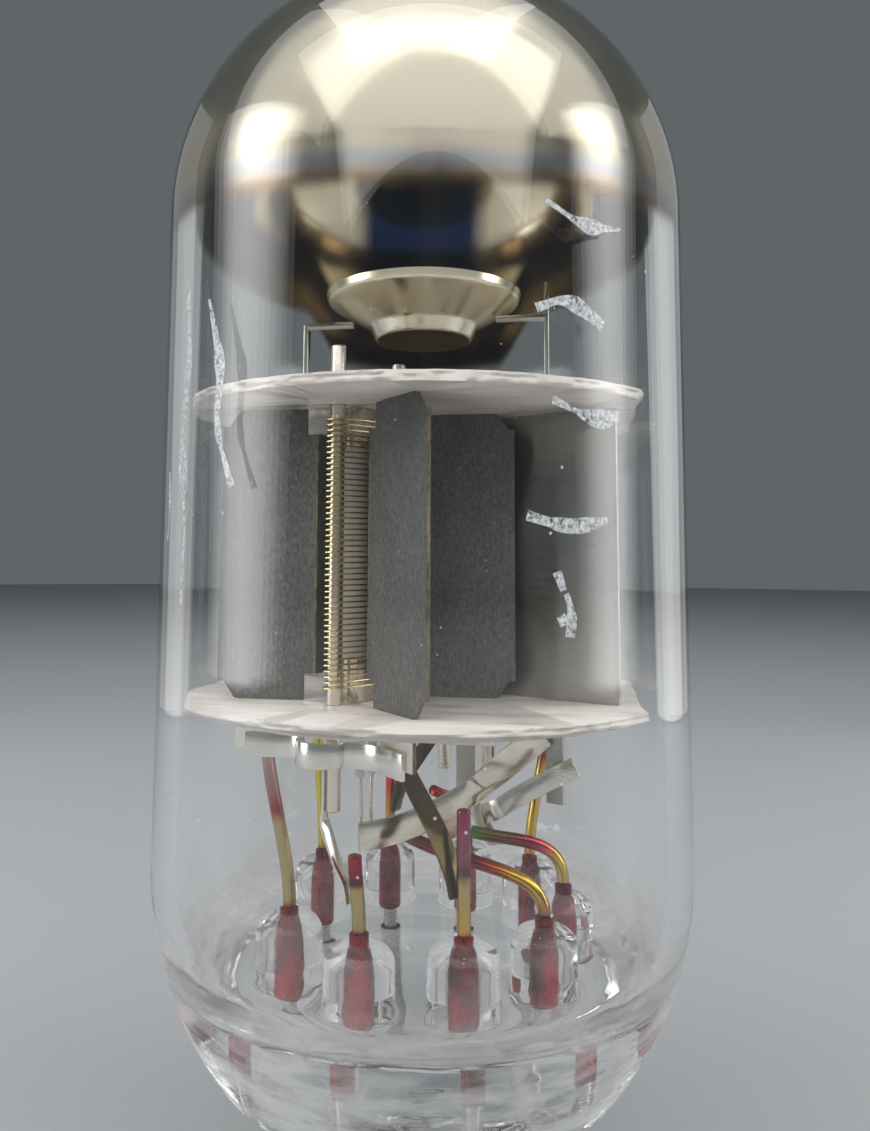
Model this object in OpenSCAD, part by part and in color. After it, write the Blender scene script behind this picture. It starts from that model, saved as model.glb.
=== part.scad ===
// Twin triode valve with a nine-pin glass base, standing on its pins.
// +Z runs up the glass, the origin is on the axis at the tips of the pins, and the
// screen between the two triodes lies in the XZ plane. Millimetres.

/* [Glass] */
// Outside diameter of the bulb
bulb_d = 22; // [21.6:0.1:22.4]
// Wall of the bulb
bulb_wall = 1; // [0.8:0.05:1.1]
// Height of the dome's shoulder above the base
shoulder_h = 34.3; // [34:0.1:38]
// Radius of the flat middle of the dome's top
dome_flat_r = 0.4; // [0:0.05:1.2]
// Glass between the middle of the pins and the inside of the bulb's wall at the base
pin_room = 0.816; // [0.7:0.002:1]
// Height above the base at which the bulb starts to draw in
waist_h = 8.2; // [7.8:0.1:8.6]
// Rounding of the bulb's bottom edge
foot_r = 1; // [0.6:0.1:1.2]
// Height of the sealed-off tip above the dome
tip_h = 3.1; // [2.4:0.1:3.6]
// Radius of the sealed-off tip at its root
tip_root_r = 2.3; // [1.8:0.1:2.6]
// Radius of the rounded end of the sealed-off tip
tip_end_r = 0.9; // [0.6:0.05:1]
// Thickness of the pressed glass stem, underside to floor
stem_t = 3.9; // [3.4:0.1:4.2]
// Height of the thick rim of the stem above its floor
rim_h = 2.3; // [2:0.1:2.6]
// Height of a glass bead above the stem's floor
bead_h = 2.6; // [2.2:0.1:3]
// Diameter of a glass bead
bead_d = 2.6; // [2.2:0.1:2.9]
// Rounding of a bead's top
bead_round = 0.8; // [0.5:0.05:0.9]

/* [Pins and wires] */
// Diameter of the circle that the pins stand on
pin_circle_d = 11.89; // [11.7:0.01:12.1]
// Diameter of a pin
pin_d = 1.016; // [0.95:0.002:1.05]
// Length of a pin below the base
pin_free = 7; // [6.5:0.1:7.2]
// Diameter of a pin's neck inside the glass
pin_neck_d = 0.66; // [0.5:0.02:0.68]
// Length of a pin inside the glass
pin_in_glass = 2.6; // [2:0.1:3]
// Length of the tapered tip of a pin
pin_tip_h = 0.6; // [0.3:0.1:1]
// Diameter of a pin at its very tip
pin_tip_d = 0.5; // [0.4:0.05:0.7]
// Diameter of the copper-clad sealing wires
seal_wire_d = 0.7; // [0.6:0.05:0.8]
// Length of a sealing wire that stands out of its bead
seal_wire_out = 0.2; // [0.1:0.05:0.4]
// Diameter of the leads above the beads
lead_d = 0.5; // [0.4:0.02:0.56]
// Height of the straight cathode leads
tall_lead_h = 4.6; // [4.2:0.1:5]
// Height of the front grid's lead
short_lead_h = 2.9; // [2.6:0.1:3.2]

/* [Micas] */
// Height of the lower mica's top face above the base
mica_h = 14.6; // [14.2:0.1:15]
// Distance between the two micas
cage_h = 11.2; // [10.8:0.1:11.6]
// Gap between the micas' rim and the bulb
mica_gap = 0.1; // [0.05:0.05:0.3]
// Depth of the straight cuts in the micas' rim
mica_flat_cut = 0.9; // [0.6:0.05:0.95]
// Direction of the micas' straight edges, degrees
mica_flat_angle = 18; // [10:1:24]
// Thickness of the top mica
top_mica_t = 0.4; // [0.3:0.05:0.5]
// Thickness of the lower mica
lower_mica_t = 0.27; // [0.2:0.01:0.35]
// How much smaller in radius the second mica under the lower one is
under_mica_in = 0.6; // [0.3:0.05:0.65]
// Thickness of the second mica
under_mica_t = 0.25; // [0.2:0.01:0.35]

/* [Screen] */
// Half width of the screen sheet
screen_half_w = 8.65; // [8.4:0.05:8.75]
// Thickness of the screen sheet
screen_t = 0.2; // [0.15:0.01:0.25]
// Distance of the screen's side tabs from the axis
side_tab_x = 6.1; // [5.9:0.05:6.3]
// Width of the screen's side tabs
side_tab_w = 0.7; // [0.6:0.05:0.8]
// Length of the long tab on the right below the micas
side_tab_down = 3.4; // [3.2:0.1:3.6]
// Distance of the screen's middle tabs from the axis
mid_tab_x = 2.2; // [2.1:0.05:2.3]
// Width of the screen's middle tabs
mid_tab_w = 0.9; // [0.8:0.05:1]
// Length of the long middle tab below the micas
mid_tab_down = 4; // [3.8:0.1:4.2]

/* [Anodes] */
// Distance of each triode's axis from the tube's axis
triode_off = 3.96; // [3.9:0.01:4.05]
// Distance of an anode's active face from the triode's axis
face_u = 1.29; // [1.2:0.01:1.35]
// Half width of an anode's active face
face_half_w = 1.63; // [1.5:0.01:1.7]
// Height of an anode's active face
face_h = 9.2; // [8.6:0.1:9.6]
// Length of an anode's wings
wing_l = 3.84; // [3.7:0.02:3.96]
// Angle of the wings from the screen's plane, degrees
wing_angle = 24.4; // [23:0.2:25.2]
// Thickness of the anode sheet
anode_t = 0.15; // [0.12:0.01:0.18]
// Length of the low part of a wing beside the active face
wing_low_l = 0.42; // [0.3:0.02:0.6]
// Height of the corner cut off a wing's tip
wing_cut_h = 0.65; // [0.4:0.05:0.8]
// Length of the corner cut off a wing's tip
wing_cut_l = 0.7; // [0.5:0.05:0.75]
// Distance of a wing's tab from the active face
tab_from_face = 0.85; // [0.75:0.05:0.9]
// Width of a wing's tab
tab_w = 2.2; // [2:0.05:2.3]
// Length of a wing's tab above the top mica
tab_up = 0.35; // [0.25:0.05:0.5]
// Length of a wing's tab below the micas
tab_down = 1.3; // [1.2:0.05:1.4]

/* [Grids] */
// Diameter of a grid rod
rod_d = 0.57; // [0.5:0.01:0.6]
// Distance of a grid rod from its triode's axis
rod_off = 2.03; // [2:0.01:2.06]
// Length of a grid rod above the top mica
rod_up = 1.9; // [1.6:0.1:2.1]
// Length of the front triode's outer rod below the micas
front_outer_down = 3.3; // [3.1:0.1:3.5]
// Length of the front triode's inner rod below the micas
front_inner_down = 2.2; // [2:0.1:2.5]
// Length of the back triode's outer rod below the micas
back_outer_down = 4.1; // [3.9:0.1:4.3]
// Length of the back triode's inner rod below the micas
back_inner_down = 3.2; // [3:0.1:3.4]
// Diameter of the grid wire
grid_wire_d = 0.08; // [0.06:0.005:0.1]
// Distance between neighbouring turns of the grid
grid_pitch = 0.208; // [0.2:0.004:0.24]
// Distance from the micas to the first and last turns
grid_margin = 0.45; // [0.4:0.05:1]
// Distance that a turn bulges past the rods round the cathode
grid_bulge = 0.42; // [0.38:0.01:0.48]

/* [Cathodes and heaters] */
// Thickness of the flat cathode sleeve
sleeve_t = 1; // [0.9:0.02:1.02]
// Width of the flat cathode sleeve
sleeve_w = 2.7; // [2.6:0.02:2.74]
// Wall of the cathode sleeve
sleeve_wall = 0.06; // [0.05:0.005:0.08]
// Length of the sleeve above and below the micas
sleeve_out = 0.7; // [0.5:0.05:0.9]
// Thickness of the sprayed coating on the sleeve
coating_t = 0.05; // [0.03:0.005:0.06]
// Distance from the micas to the ends of the coating
coating_margin = 1.6; // [1.3:0.1:2]
// Diameter of the insulated heater wire
heater_d = 0.34; // [0.28:0.01:0.4]
// Distance between the heater's two legs
heater_gap = 0.8; // [0.7:0.05:1]
// Length of the insulated heater legs below the micas
heater_down = 2.4; // [2.2:0.1:2.5]
// Diameter of the bare heater wire
heater_bare_d = 0.14; // [0.1:0.01:0.16]
// Length of the bare heater wire
heater_bare_h = 2.2; // [2:0.1:2.4]

/* [Getter] */
// Radius of the getter dish
dish_r = 4.3; // [4:0.05:4.5]
// Radius of the flat boss of the dish
boss_r = 2.1; // [1.9:0.05:2.3]
// Height of the boss above the top mica
boss_up = 3.3; // [3:0.1:3.6]
// Height of the step round the boss
boss_step = 0.55; // [0.4:0.05:0.7]
// Height of the dish's sloping flange
flange_h = 1; // [0.8:0.05:1.2]
// Height of the upright lip of the dish
lip_h = 0.35; // [0.2:0.05:0.5]
// Thickness of the dish's sheet
dish_t = 0.15; // [0.12:0.01:0.2]
// Width of the getter's two legs
leg_w = 0.5; // [0.4:0.05:0.6]
// Thickness of the getter's two legs
leg_t = 0.2; // [0.15:0.01:0.25]
// Direction of the getter's legs, degrees
leg_angle = 23; // [20:1:28]
// Distance of the getter's legs from the axis
leg_off = 5.3; // [5.1:0.05:5.6]
// Height of the right leg's free end above its arm
leg_rise = 1.4; // [1:0.1:1.8]
// Height of the mirror's edge above the top mica
mirror_up = 5.8; // [5.4:0.1:6.4]
// Thickness of the mirror's metal film
mirror_t = 0.05; // [0.04:0.005:0.08]

/* [Straps] */
// Thickness of the straps and ribbons
strap_t = 0.15; // [0.12:0.01:0.18]
// Height of the straps that join the anode halves
anode_strap_h = 0.9; // [0.8:0.05:1]
// Radius of the bend in an anode strap round the grid rod
anode_strap_r = 0.95; // [0.9:0.05:1]
// Width of the heater strap
heater_strap_w = 1.05; // [0.9:0.05:1.15]
// Width of the link from the back heater to its lead
heater_link_w = 0.6; // [0.5:0.05:0.8]
// Width of the strap from the heater strap to the screen
side_strap_w = 0.75; // [0.6:0.05:0.85]
// Width of the strip from a cathode to its lead
cathode_strip_w = 0.75; // [0.6:0.05:0.8]
// Height that the heater strap climbs on its way to the fold
strap_rise = 1.25; // [1:0.05:1.5]
// How far the heater strap's lower layer lies below its upper one
strap_flap_down = 0.75; // [0.6:0.05:0.9]
// Depth of lead 5's end below the heater strap's middle line
lead_5_down = 1.2; // [1.1:0.05:1.3]
// Depth of lead 4's end below the heater strap's middle line
lead_4_down = 0.42; // [0.35:0.01:0.48]
// Distance of the heater strap's right end below the micas
strap_end_down = 0.75; // [0.6:0.05:0.9]
// Height that the side strap climbs
side_strap_rise = 2.3; // [2:0.1:2.5]
// How far the side strap bows out to the front
side_strap_bow = 0.45; // [0.3:0.05:0.55]
// Height of a cathode strip between its sleeve and its lower end
cathode_strip_drop = 5.4; // [5:0.1:5.6]
// Distance of the anode straps' lower edge below the anode tabs
anode_strap_drop = 0.3; // [0.2:0.05:0.4]
// Length of the grid link that is welded beside the rod
link_weld_l = 1.8; // [1.5:0.1:2]
// Length of the grid link that is welded beside its lead
link_foot_l = 0.5; // [0.4:0.05:0.7]
// How far the grid link bows out to the left above its foot
link_bow = 0.45; // [0.3:0.05:0.6]
// Width of the ribbon from a grid rod to its lead
grid_link_w = 0.5; // [0.4:0.05:0.55]
// Thickness of the ribbon from a grid rod to its lead
grid_link_t = 0.1; // [0.08:0.01:0.12]

/* [Hidden] */
$fn = 48;
PIN_NUMBERS = [1:9];

// Gap between pieces that are welded, sealed or pressed together
seat = 0.01;
// Gap round what passes through a mica
mica_fit = 0.03;
// How far a cut runs past the face that it opens
past = 1;
// Angle between neighbouring pins, and the angle of pin 1
pin_step = 36;
pin_1_angle = -115;
// Facets of the round glass
GLASS_FN = 96;

bulb_r = bulb_d / 2;
pin_circle_r = pin_circle_d / 2;
dome_r = bulb_r - dome_flat_r;
base_z = pin_free;
shoulder_z = base_z + shoulder_h;
waist_z = base_z + waist_h;
// The bulb is drawn in along the circle that keeps its wall outside the pins at the base
waist_in = bulb_r - pin_circle_r - pin_room;
waist_r = (waist_h * waist_h + waist_in * waist_in - bulb_wall * bulb_wall) / (2 * (waist_in - bulb_wall));
floor_z = base_z + stem_t;
rim_z = floor_z + rim_h;
bead_z = floor_z + bead_h;
pin_top_z = base_z + pin_in_glass;
wire_z = bead_z + seal_wire_out;
mica_z = base_z + mica_h;
roof_z = mica_z + cage_h;
roof_top_z = roof_z + top_mica_t;
under_z = mica_z - lower_mica_t - under_mica_t - seat;
middle_z = mica_z + cage_h / 2;
mica_r = bulb_r - bulb_wall - mica_gap;
mica_flat = mica_r - mica_flat_cut;
under_mica_r = mica_r - under_mica_in;
outer_rod_y = triode_off + rod_off;
inner_rod_y = triode_off - rod_off;
heater_end_z = under_z - heater_down - heater_bare_h;
lead_start_z = wire_z + 4 * seat;

function pin_angle(i) = pin_1_angle + pin_step * (i - 1);
function pin_xy(i) = pin_circle_r * [cos(pin_angle(i)), sin(pin_angle(i))];
function unit(v) = v / norm(v);
function turned(p) = [-p[0], -p[1], p[2]];

// Point at distance s along an outer wing of the front triode, set off by out towards
// the glass; side is 1 on the right and -1 on the left
function wing_point(side, s, out) =
    [side * (face_u + s * cos(wing_angle) - out * sin(wing_angle)),
     -(triode_off + face_half_w + s * sin(wing_angle) + out * cos(wing_angle))];

// Wires and ribbons swept along a route

function bezier(p, t) =
    pow(1 - t, 3) * p[0] + 3 * t * pow(1 - t, 2) * p[1]
    + 3 * t * t * (1 - t) * p[2] + pow(t, 3) * p[3];
function bezier_route(p, steps) = [for (i = [0:steps]) bezier(p, i / steps)];
function tangent(p, i) = unit(p[min(i + 1, len(p) - 1)] - p[max(i - 1, 0)]);

// Closed skin over rings of points that follow each other
module skin(rings, sides) {
    count = len(rings) / sides;
    walls = [for (i = [0:count - 2], k = [0:sides - 1])
        let (a = i * sides + k, b = i * sides + (k + 1) % sides)
        each [[a, a + sides, b + sides], [a, b + sides, b]]];
    start = [for (k = [0:sides - 1]) k];
    end = [for (k = [sides - 1:-1:0]) (count - 1) * sides + k];
    polyhedron(rings, concat(walls, [start, end]), convexity = 6);
}

// A round wire along route p; aside is a direction that the route never runs in
WIRE_SIDES = 8;
module wire(p, d, aside) skin([for (i = [0:len(p) - 1])
    let (t = tangent(p, i), a = unit(cross(t, aside)), b = cross(t, a))
    for (k = [0:WIRE_SIDES - 1])
        p[i] + d / 2 * (cos(360 * k / WIRE_SIDES) * a + sin(360 * k / WIRE_SIDES) * b)],
    WIRE_SIDES);

// A flat ribbon along route p; across holds the direction of its width at each point
module ribbon(p, across, w, t) skin([for (i = [0:len(p) - 1])
    let (along = tangent(p, i), a = unit(across[i] - (across[i] * along) * along),
         b = cross(along, a))
    for (corner = [[1, 1], [-1, 1], [-1, -1], [1, -1]])
        p[i] + corner[0] * w / 2 * a + corner[1] * t / 2 * b],
    4);

// Glass

// Right half of the bulb's outline, drawn in by inset, down to height low_z
module bulb_outline(inset, low_z) {
    translate([0, waist_z]) square([bulb_r - inset, shoulder_z - waist_z]);
    translate([0, shoulder_z]) square([dome_flat_r, dome_r - inset]);
    intersection() {
        translate([dome_flat_r, shoulder_z]) circle(dome_r - inset, $fn = GLASS_FN);
        translate([dome_flat_r, shoulder_z]) square(dome_r);
    }
    intersection() {
        translate([bulb_r - waist_r, waist_z]) circle(waist_r - inset, $fn = GLASS_FN);
        translate([0, low_z]) square([bulb_r, waist_z - low_z]);
    }
}

// The bottom rounding touches the waist's circle from inside
foot_x = bulb_r - waist_r + sqrt(pow(waist_r - foot_r, 2) - pow(waist_h - foot_r, 2));
foot_meet_z = waist_z - (waist_h - foot_r) * waist_r / (waist_r - foot_r);

// Right half of the sealed-off tip, which runs a little into the dome
TIP_ROOT = 0.2;
module tip_outline() {
    top_z = shoulder_z + dome_r + tip_h - tip_end_r;
    translate([0, shoulder_z]) square([tip_root_r, dome_r - TIP_ROOT]);
    polygon([[0, shoulder_z + dome_r - TIP_ROOT], [tip_root_r, shoulder_z + dome_r - TIP_ROOT],
             [tip_end_r, top_z], [0, top_z]]);
    intersection() {
        translate([0, top_z]) circle(tip_end_r);
        translate([0, shoulder_z]) square([tip_end_r, dome_r + tip_h]);
    }
}

// Radius and height of the channel that the sealed-off tip leaves inside the dome
TIP_BORE_R = 0.4;
TIP_BORE_H = 0.3;
module glass_bulb() color([0.86, 0.9, 0.92, 0.3]) rotate_extrude($fn = GLASS_FN) difference() {
    union() {
        bulb_outline(0, foot_meet_z);
        tip_outline();
        translate([0, base_z]) square([foot_x, foot_meet_z - base_z]);
        intersection() {
            translate([foot_x, base_z + foot_r]) circle(foot_r);
            translate([0, base_z]) square([bulb_r, foot_meet_z - base_z]);
        }
    }
    bulb_outline(bulb_wall, base_z - past);
    translate([0, shoulder_z]) square([TIP_BORE_R, dome_r + tip_h * TIP_BORE_H]);
}

module bead() rotate_extrude() {
    square([bead_d / 2, bead_h - bead_round]);
    square([bead_d / 2 - bead_round, bead_h]);
    intersection() {
        translate([bead_d / 2 - bead_round, bead_h - bead_round]) circle(bead_round);
        translate([bead_d / 2 - bead_round, 0]) square([bead_round, bead_h]);
    }
}

// Inner radius of the bulb at the height of the stem's rim, and of the stem's flat floor
rim_r = bulb_r - waist_r + sqrt(pow(waist_r - bulb_wall, 2) - pow(waist_z - rim_z, 2));
RIM_EDGE = 0.25;
bowl_r = rim_r - rim_h - RIM_EDGE;

// Right half of the stem: a floor with a rim that curves up to the wall
module stem_outline() difference() {
    intersection() {
        bulb_outline(bulb_wall + seat, base_z);
        translate([0, base_z]) square([bulb_r, rim_z - base_z]);
    }
    translate([0, floor_z]) square([bowl_r, rim_h + past]);
    intersection() {
        translate([bowl_r, rim_z]) circle(rim_h, $fn = GLASS_FN);
        translate([bowl_r, floor_z]) square([rim_h, rim_h]);
    }
}

module glass_stem() color([0.84, 0.88, 0.9, 0.45]) difference() {
    union() {
        rotate_extrude($fn = GLASS_FN) stem_outline();
        for (i = PIN_NUMBERS) translate([pin_xy(i)[0], pin_xy(i)[1], floor_z]) bead();
    }
    for (i = PIN_NUMBERS) translate(pin_xy(i)) {
        translate([0, 0, base_z - past])
            cylinder(d = pin_neck_d + 2 * seat, h = pin_in_glass + past + seat);
        translate([0, 0, base_z]) cylinder(d = seal_wire_d + 2 * seat, h = stem_t + bead_h + past);
    }
}

module getter_film() color([0.75, 0.76, 0.78]) rotate_extrude($fn = GLASS_FN) difference() {
    intersection() {
        bulb_outline(bulb_wall + seat, base_z);
        translate([0, roof_top_z + mirror_up]) square([bulb_r, shoulder_h]);
    }
    bulb_outline(bulb_wall + seat + mirror_t, base_z);
}

// Pins, sealing wires and leads

module pin(i) color([0.72, 0.7, 0.66]) translate(pin_xy(i)) {
    translate([0, 0, pin_tip_h]) cylinder(d = pin_d, h = base_z - pin_tip_h);
    translate([0, 0, pin_tip_h]) cylinder(d = pin_neck_d, h = pin_top_z - pin_tip_h);
    cylinder(d1 = pin_tip_d, d2 = pin_d, h = pin_tip_h);
}

module seal_wire(i) color([0.66, 0.12, 0.16])
    translate([pin_xy(i)[0], pin_xy(i)[1], pin_top_z + seat])
        cylinder(d = seal_wire_d, h = wire_z - pin_top_z - seat);

// The heater strap runs in an upright plane past the front heater's bare ends to a
// fold against the screen's middle tab, and from there up to the screen's right tab.
// The front plane is set so that it passes the heater's wires on their right.
strap_past_heater = [heater_bare_d / 2 + strap_t / 2 + seat + 0.03, -triode_off - 0.55];
strap_fold = [mid_tab_x + mid_tab_w / 2 + 0.1, -screen_t / 2 - strap_t - 3 * seat];
strap_dir = unit(strap_fold - strap_past_heater);
strap_low_z = heater_end_z + 0.05;
strap_fold_z = strap_low_z + strap_rise;
// Point in the strap's front plane: share of the way to the fold, height from the
// strap's middle line, and distance behind the plane
function strap_point(share, up, behind) = concat(
    strap_past_heater + share * (strap_fold - strap_past_heater)
        + behind * [-strap_dir[1], strap_dir[0]],
    strap_low_z + (strap_fold_z - strap_low_z) * share * share + up);

// Room beside a sheet for a wire or a strap that is welded to it
beside_anode = anode_t / 2 + lead_d / 2 + seat;
beside_screen = screen_t / 2 + lead_d / 2 + seat;
beside_strap = strap_t / 2 + lead_d / 2 + seat;

// Where a lead meets its wing's tab, as a share of the tab's width
TAB_SHARE = 0.5;
anode_lead_end = concat(wing_point(-1, tab_from_face + tab_w * TAB_SHARE, -beside_anode),
                        under_z - tab_down);

// Leads 4 and 5 end behind the heater strap, under its front and its fold
LEAD_ENDS = [
    anode_lead_end + [0, 0, 0.2],
    concat(pin_xy(2) + [-0.15, -0.1], bead_z + short_lead_h),
    concat(pin_xy(3), bead_z + tall_lead_h),
    strap_point(0.4, -lead_4_down, beside_strap + 0.22),
    strap_point(0.88, -lead_5_down, beside_strap + 0.03),
    [-anode_lead_end[0], -anode_lead_end[1], anode_lead_end[2] + 0.2],
    concat(pin_xy(7) + [-0.5, -2.3], bead_z + short_lead_h),
    concat(pin_xy(8), bead_z + tall_lead_h),
    [-side_tab_x, beside_screen, under_z - 0.6]];
// How far each lead rises straight before it bends, and the pull at its end
LEAD_RISE = [1.8, 1, 1.5, 1.85, 2.1, 1.8, 2.2, 1.5, 2.4];
LEAD_PULL = [[0.1, 0.2, -2.2], [0, 0, -0.8], [0, 0, -1.5], [2.5, 0.9, -1.2], [1.5, 1.6, -0.85],
             [-0.1, -0.2, -2.2], [0.3, 1.5, -0.85], [0, 0, -1.5], [0, 0, -2.4]];
LEAD_STEPS = 12;

function lead_route(i) =
    let (start = concat(pin_xy(i), lead_start_z), end = LEAD_ENDS[i - 1])
    bezier_route([start, start + [0, 0, LEAD_RISE[i - 1]], end + LEAD_PULL[i - 1], end],
                 LEAD_STEPS);
// A horizontal direction square to the way that the lead leans
function lead_aside(i) =
    let (lean = LEAD_ENDS[i - 1] - concat(pin_xy(i), 0))
    norm([lean[0], lean[1]]) > 0.1 ? unit([-lean[1], lean[0], 0]) : [0, 1, 0];

module lead(i) color([0.82, 0.7, 0.45]) wire(lead_route(i), lead_d, lead_aside(i));

// Micas

module mica_sheet(r, t) linear_extrude(t) intersection() {
    circle(r, $fn = GLASS_FN);
    rotate(mica_flat_angle) square([2 * mica_flat, 2 * r + 1], center = true);
}

// A flat sleeve's outline: w along Y between two round edges, t across X
module flat_oval(t, w) {
    square([t, w - t], center = true);
    for (end = [-1, 1]) translate([0, end * (w - t) / 2]) circle(d = t);
}

// Outlines of all that passes through the micas, drawn larger by the fit
module mica_cuts() {
    room = 2 * mica_fit;
    for (turn = [0, 180]) rotate(turn) {
        for (y = [outer_rod_y, inner_rod_y]) translate([0, -y]) circle(d = rod_d + room);
        translate([0, -triode_off]) flat_oval(sleeve_t + room, sleeve_w + room);
        translate([0, -triode_off]) for (side = [0, 1], out = [0, 1])
            mirror([side, 0]) mirror([0, out]) translate([face_u, face_half_w])
                rotate(wing_angle) translate([tab_from_face - mica_fit, -anode_t / 2 - mica_fit])
                    square([tab_w + room, anode_t + room]);
        translate([side_tab_x, 0]) square([side_tab_w + room, screen_t + room], center = true);
        translate([mid_tab_x, 0]) square([mid_tab_w + room, screen_t + room], center = true);
    }
}

module mica(r, t, low_z) color([0.78, 0.72, 0.68]) translate([0, 0, low_z]) difference() {
    mica_sheet(r, t);
    translate([0, 0, -past]) linear_extrude(t + 2 * past) mica_cuts();
}

// Screen

module screen_tab(x, w, low_z, high_z)
    translate([x - w / 2, -screen_t / 2, low_z]) cube([w, screen_t, high_z - low_z]);

module screen() color([0.66, 0.65, 0.62]) {
    translate([-screen_half_w, -screen_t / 2, mica_z + seat])
        cube([2 * screen_half_w, screen_t, cage_h - 2 * seat]);
    for (side = [-1, 1]) {
        screen_tab(side * side_tab_x, side_tab_w, roof_z - 1, roof_top_z + tab_up);
        screen_tab(side * mid_tab_x, mid_tab_w, roof_z - 1, roof_top_z + tab_up);
    }
    screen_tab(side_tab_x, side_tab_w, under_z - side_tab_down, mica_z + 1);
    screen_tab(mid_tab_x, mid_tab_w, under_z - mid_tab_down, mica_z + 1);
    screen_tab(-side_tab_x, side_tab_w, under_z - tab_down, mica_z + 1);
    screen_tab(-mid_tab_x, mid_tab_w, under_z - tab_down, mica_z + 1);
}

// Anodes

// One wing in its own plane: a low start, cut corners at the tip, and a tab at each end
module wing_face() {
    half = cage_h / 2 - seat;
    shoulder = wing_l - wing_cut_l / 3;
    polygon([[-anode_t / 2, -face_h / 2], [wing_low_l, -face_h / 2], [wing_low_l, -half],
             [wing_l - wing_cut_l, -half], [shoulder, -half + wing_cut_h],
             [wing_l, -half + wing_cut_h], [wing_l, half - wing_cut_h],
             [shoulder, half - wing_cut_h], [wing_l - wing_cut_l, half],
             [wing_low_l, half], [wing_low_l, face_h / 2], [-anode_t / 2, face_h / 2]]);
    translate([tab_from_face, under_z - tab_down - middle_z])
        square([tab_w, roof_top_z + tab_up - under_z + tab_down]);
}

// The half on the +X side of a triode whose axis is the Z axis
module anode_half() {
    translate([face_u - anode_t / 2, -face_half_w - anode_t / 2, middle_z - face_h / 2])
        cube([anode_t, 2 * face_half_w + anode_t, face_h]);
    for (out = [-1, 1])
        translate([face_u, out * face_half_w, middle_z]) rotate(out * wing_angle)
            translate([0, anode_t / 2]) rotate([90, 0, 0]) linear_extrude(anode_t) wing_face();
}

// side is 1 for the half on the +X side and -1 for the other
module anode(side) color([0.2, 0.2, 0.2]) translate([0, -triode_off])
    rotate(side > 0 ? 0 : 180) anode_half();

// Strip outline of thickness t from p to q, with round ends
module strip_outline(p, q, t) {
    translate(p) rotate(atan2(q[1] - p[1], q[0] - p[0])) translate([0, -t / 2])
        square([norm(q - p), t]);
    for (end = [p, q]) translate(end) circle(d = t);
}

// A strap that joins a triode's outer tabs and bends round the outer grid rod
STRAP_BEND_OFF = [-0.3, -0.2];
module anode_strap() {
    out = anode_t / 2 + strap_t / 2 + seat;
    bend = [0, -outer_rod_y] + STRAP_BEND_OFF;
    color([0.8, 0.8, 0.78]) translate([0, 0, under_z - tab_down - anode_strap_drop])
        linear_extrude(anode_strap_h) {
            for (side = [-1, 1]) {
                inner = wing_point(side, tab_from_face - strap_t, out);
                strip_outline(bend + [side * anode_strap_r, 0], inner, strap_t);
                strip_outline(inner, wing_point(side, tab_from_face + tab_w * 0.8, out), strap_t);
            }
            translate(bend) difference() {
                circle(anode_strap_r + strap_t / 2);
                circle(anode_strap_r - strap_t / 2);
                translate([-2 * anode_strap_r, 0]) square(4 * anode_strap_r);
            }
        }
}

// Grids

module grid_rod(y, down) color([0.85, 0.8, 0.68]) translate([0, -y, under_z - down])
    cylinder(d = rod_d, h = roof_top_z + rod_up - under_z + down);

// One wire wound round both rods, bulging past them round the cathode
GRID_SIDES = 4;
WRAP_ANGLE = 60;
function grid_turn(r) = concat(
    [for (a = [-WRAP_ANGLE, 0, WRAP_ANGLE]) [-r * sin(a), rod_off + r * cos(a)]],
    [for (y = [1, -1]) [-r - grid_bulge, y * rod_off / 3]],
    [for (a = [-WRAP_ANGLE, 0, WRAP_ANGLE]) [r * sin(a), -rod_off - r * cos(a)]],
    [for (y = [-1, 1]) [r + grid_bulge, y * rod_off / 3]]);

module grid_wire() {
    half = grid_wire_d / 2;
    r = (rod_d / 2 + seat) / cos(WRAP_ANGLE / 2) + half;
    inside = grid_turn(r - half);
    middle = grid_turn(r);
    outside = grid_turn(r + half);
    places = len(middle);
    turns = floor((cage_h - 2 * grid_margin) / grid_pitch);
    rings = [for (i = [0:turns * places])
        let (k = i % places, z = middle_z + grid_pitch * (i / places - turns / 2))
        each [concat(outside[k], z), concat(middle[k], z + half),
              concat(inside[k], z), concat(middle[k], z - half)]];
    color([0.85, 0.72, 0.4]) translate([0, -triode_off]) skin(rings, GRID_SIDES);
}

// Cathodes and heaters

module cathode() color([0.8, 0.78, 0.74]) translate([0, -triode_off]) difference() {
    union() {
        translate([0, 0, under_z - sleeve_out])
            linear_extrude(roof_top_z - under_z + 2 * sleeve_out) flat_oval(sleeve_t, sleeve_w);
        translate([0, 0, mica_z + coating_margin])
            linear_extrude(cage_h - 2 * coating_margin)
                flat_oval(sleeve_t + 2 * coating_t, sleeve_w + 2 * coating_t);
    }
    translate([0, 0, under_z - sleeve_out - past])
        linear_extrude(roof_top_z - under_z + 2 * sleeve_out + 2 * past)
            flat_oval(sleeve_t - 2 * sleeve_wall, sleeve_w - 2 * sleeve_wall);
}

// A hairpin in the sleeve: two insulated legs, a bend at the top and bare ends
module heater() color([0.88, 0.87, 0.84]) translate([0, -triode_off]) {
    top = roof_z - 1;
    low = under_z - heater_down;
    for (leg = [-1, 1]) translate([0, leg * heater_gap / 2, low]) {
        cylinder(d = heater_d, h = top - low);
        translate([0, 0, -heater_bare_h]) cylinder(d = heater_bare_d, h = heater_bare_h + 0.1);
    }
    translate([0, 0, top]) rotate([0, -90, 0]) rotate([0, 0, -90])
        rotate_extrude(angle = 180) translate([heater_gap / 2, 0]) circle(d = heater_d);
}

// Straps and ribbons under the micas

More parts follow.
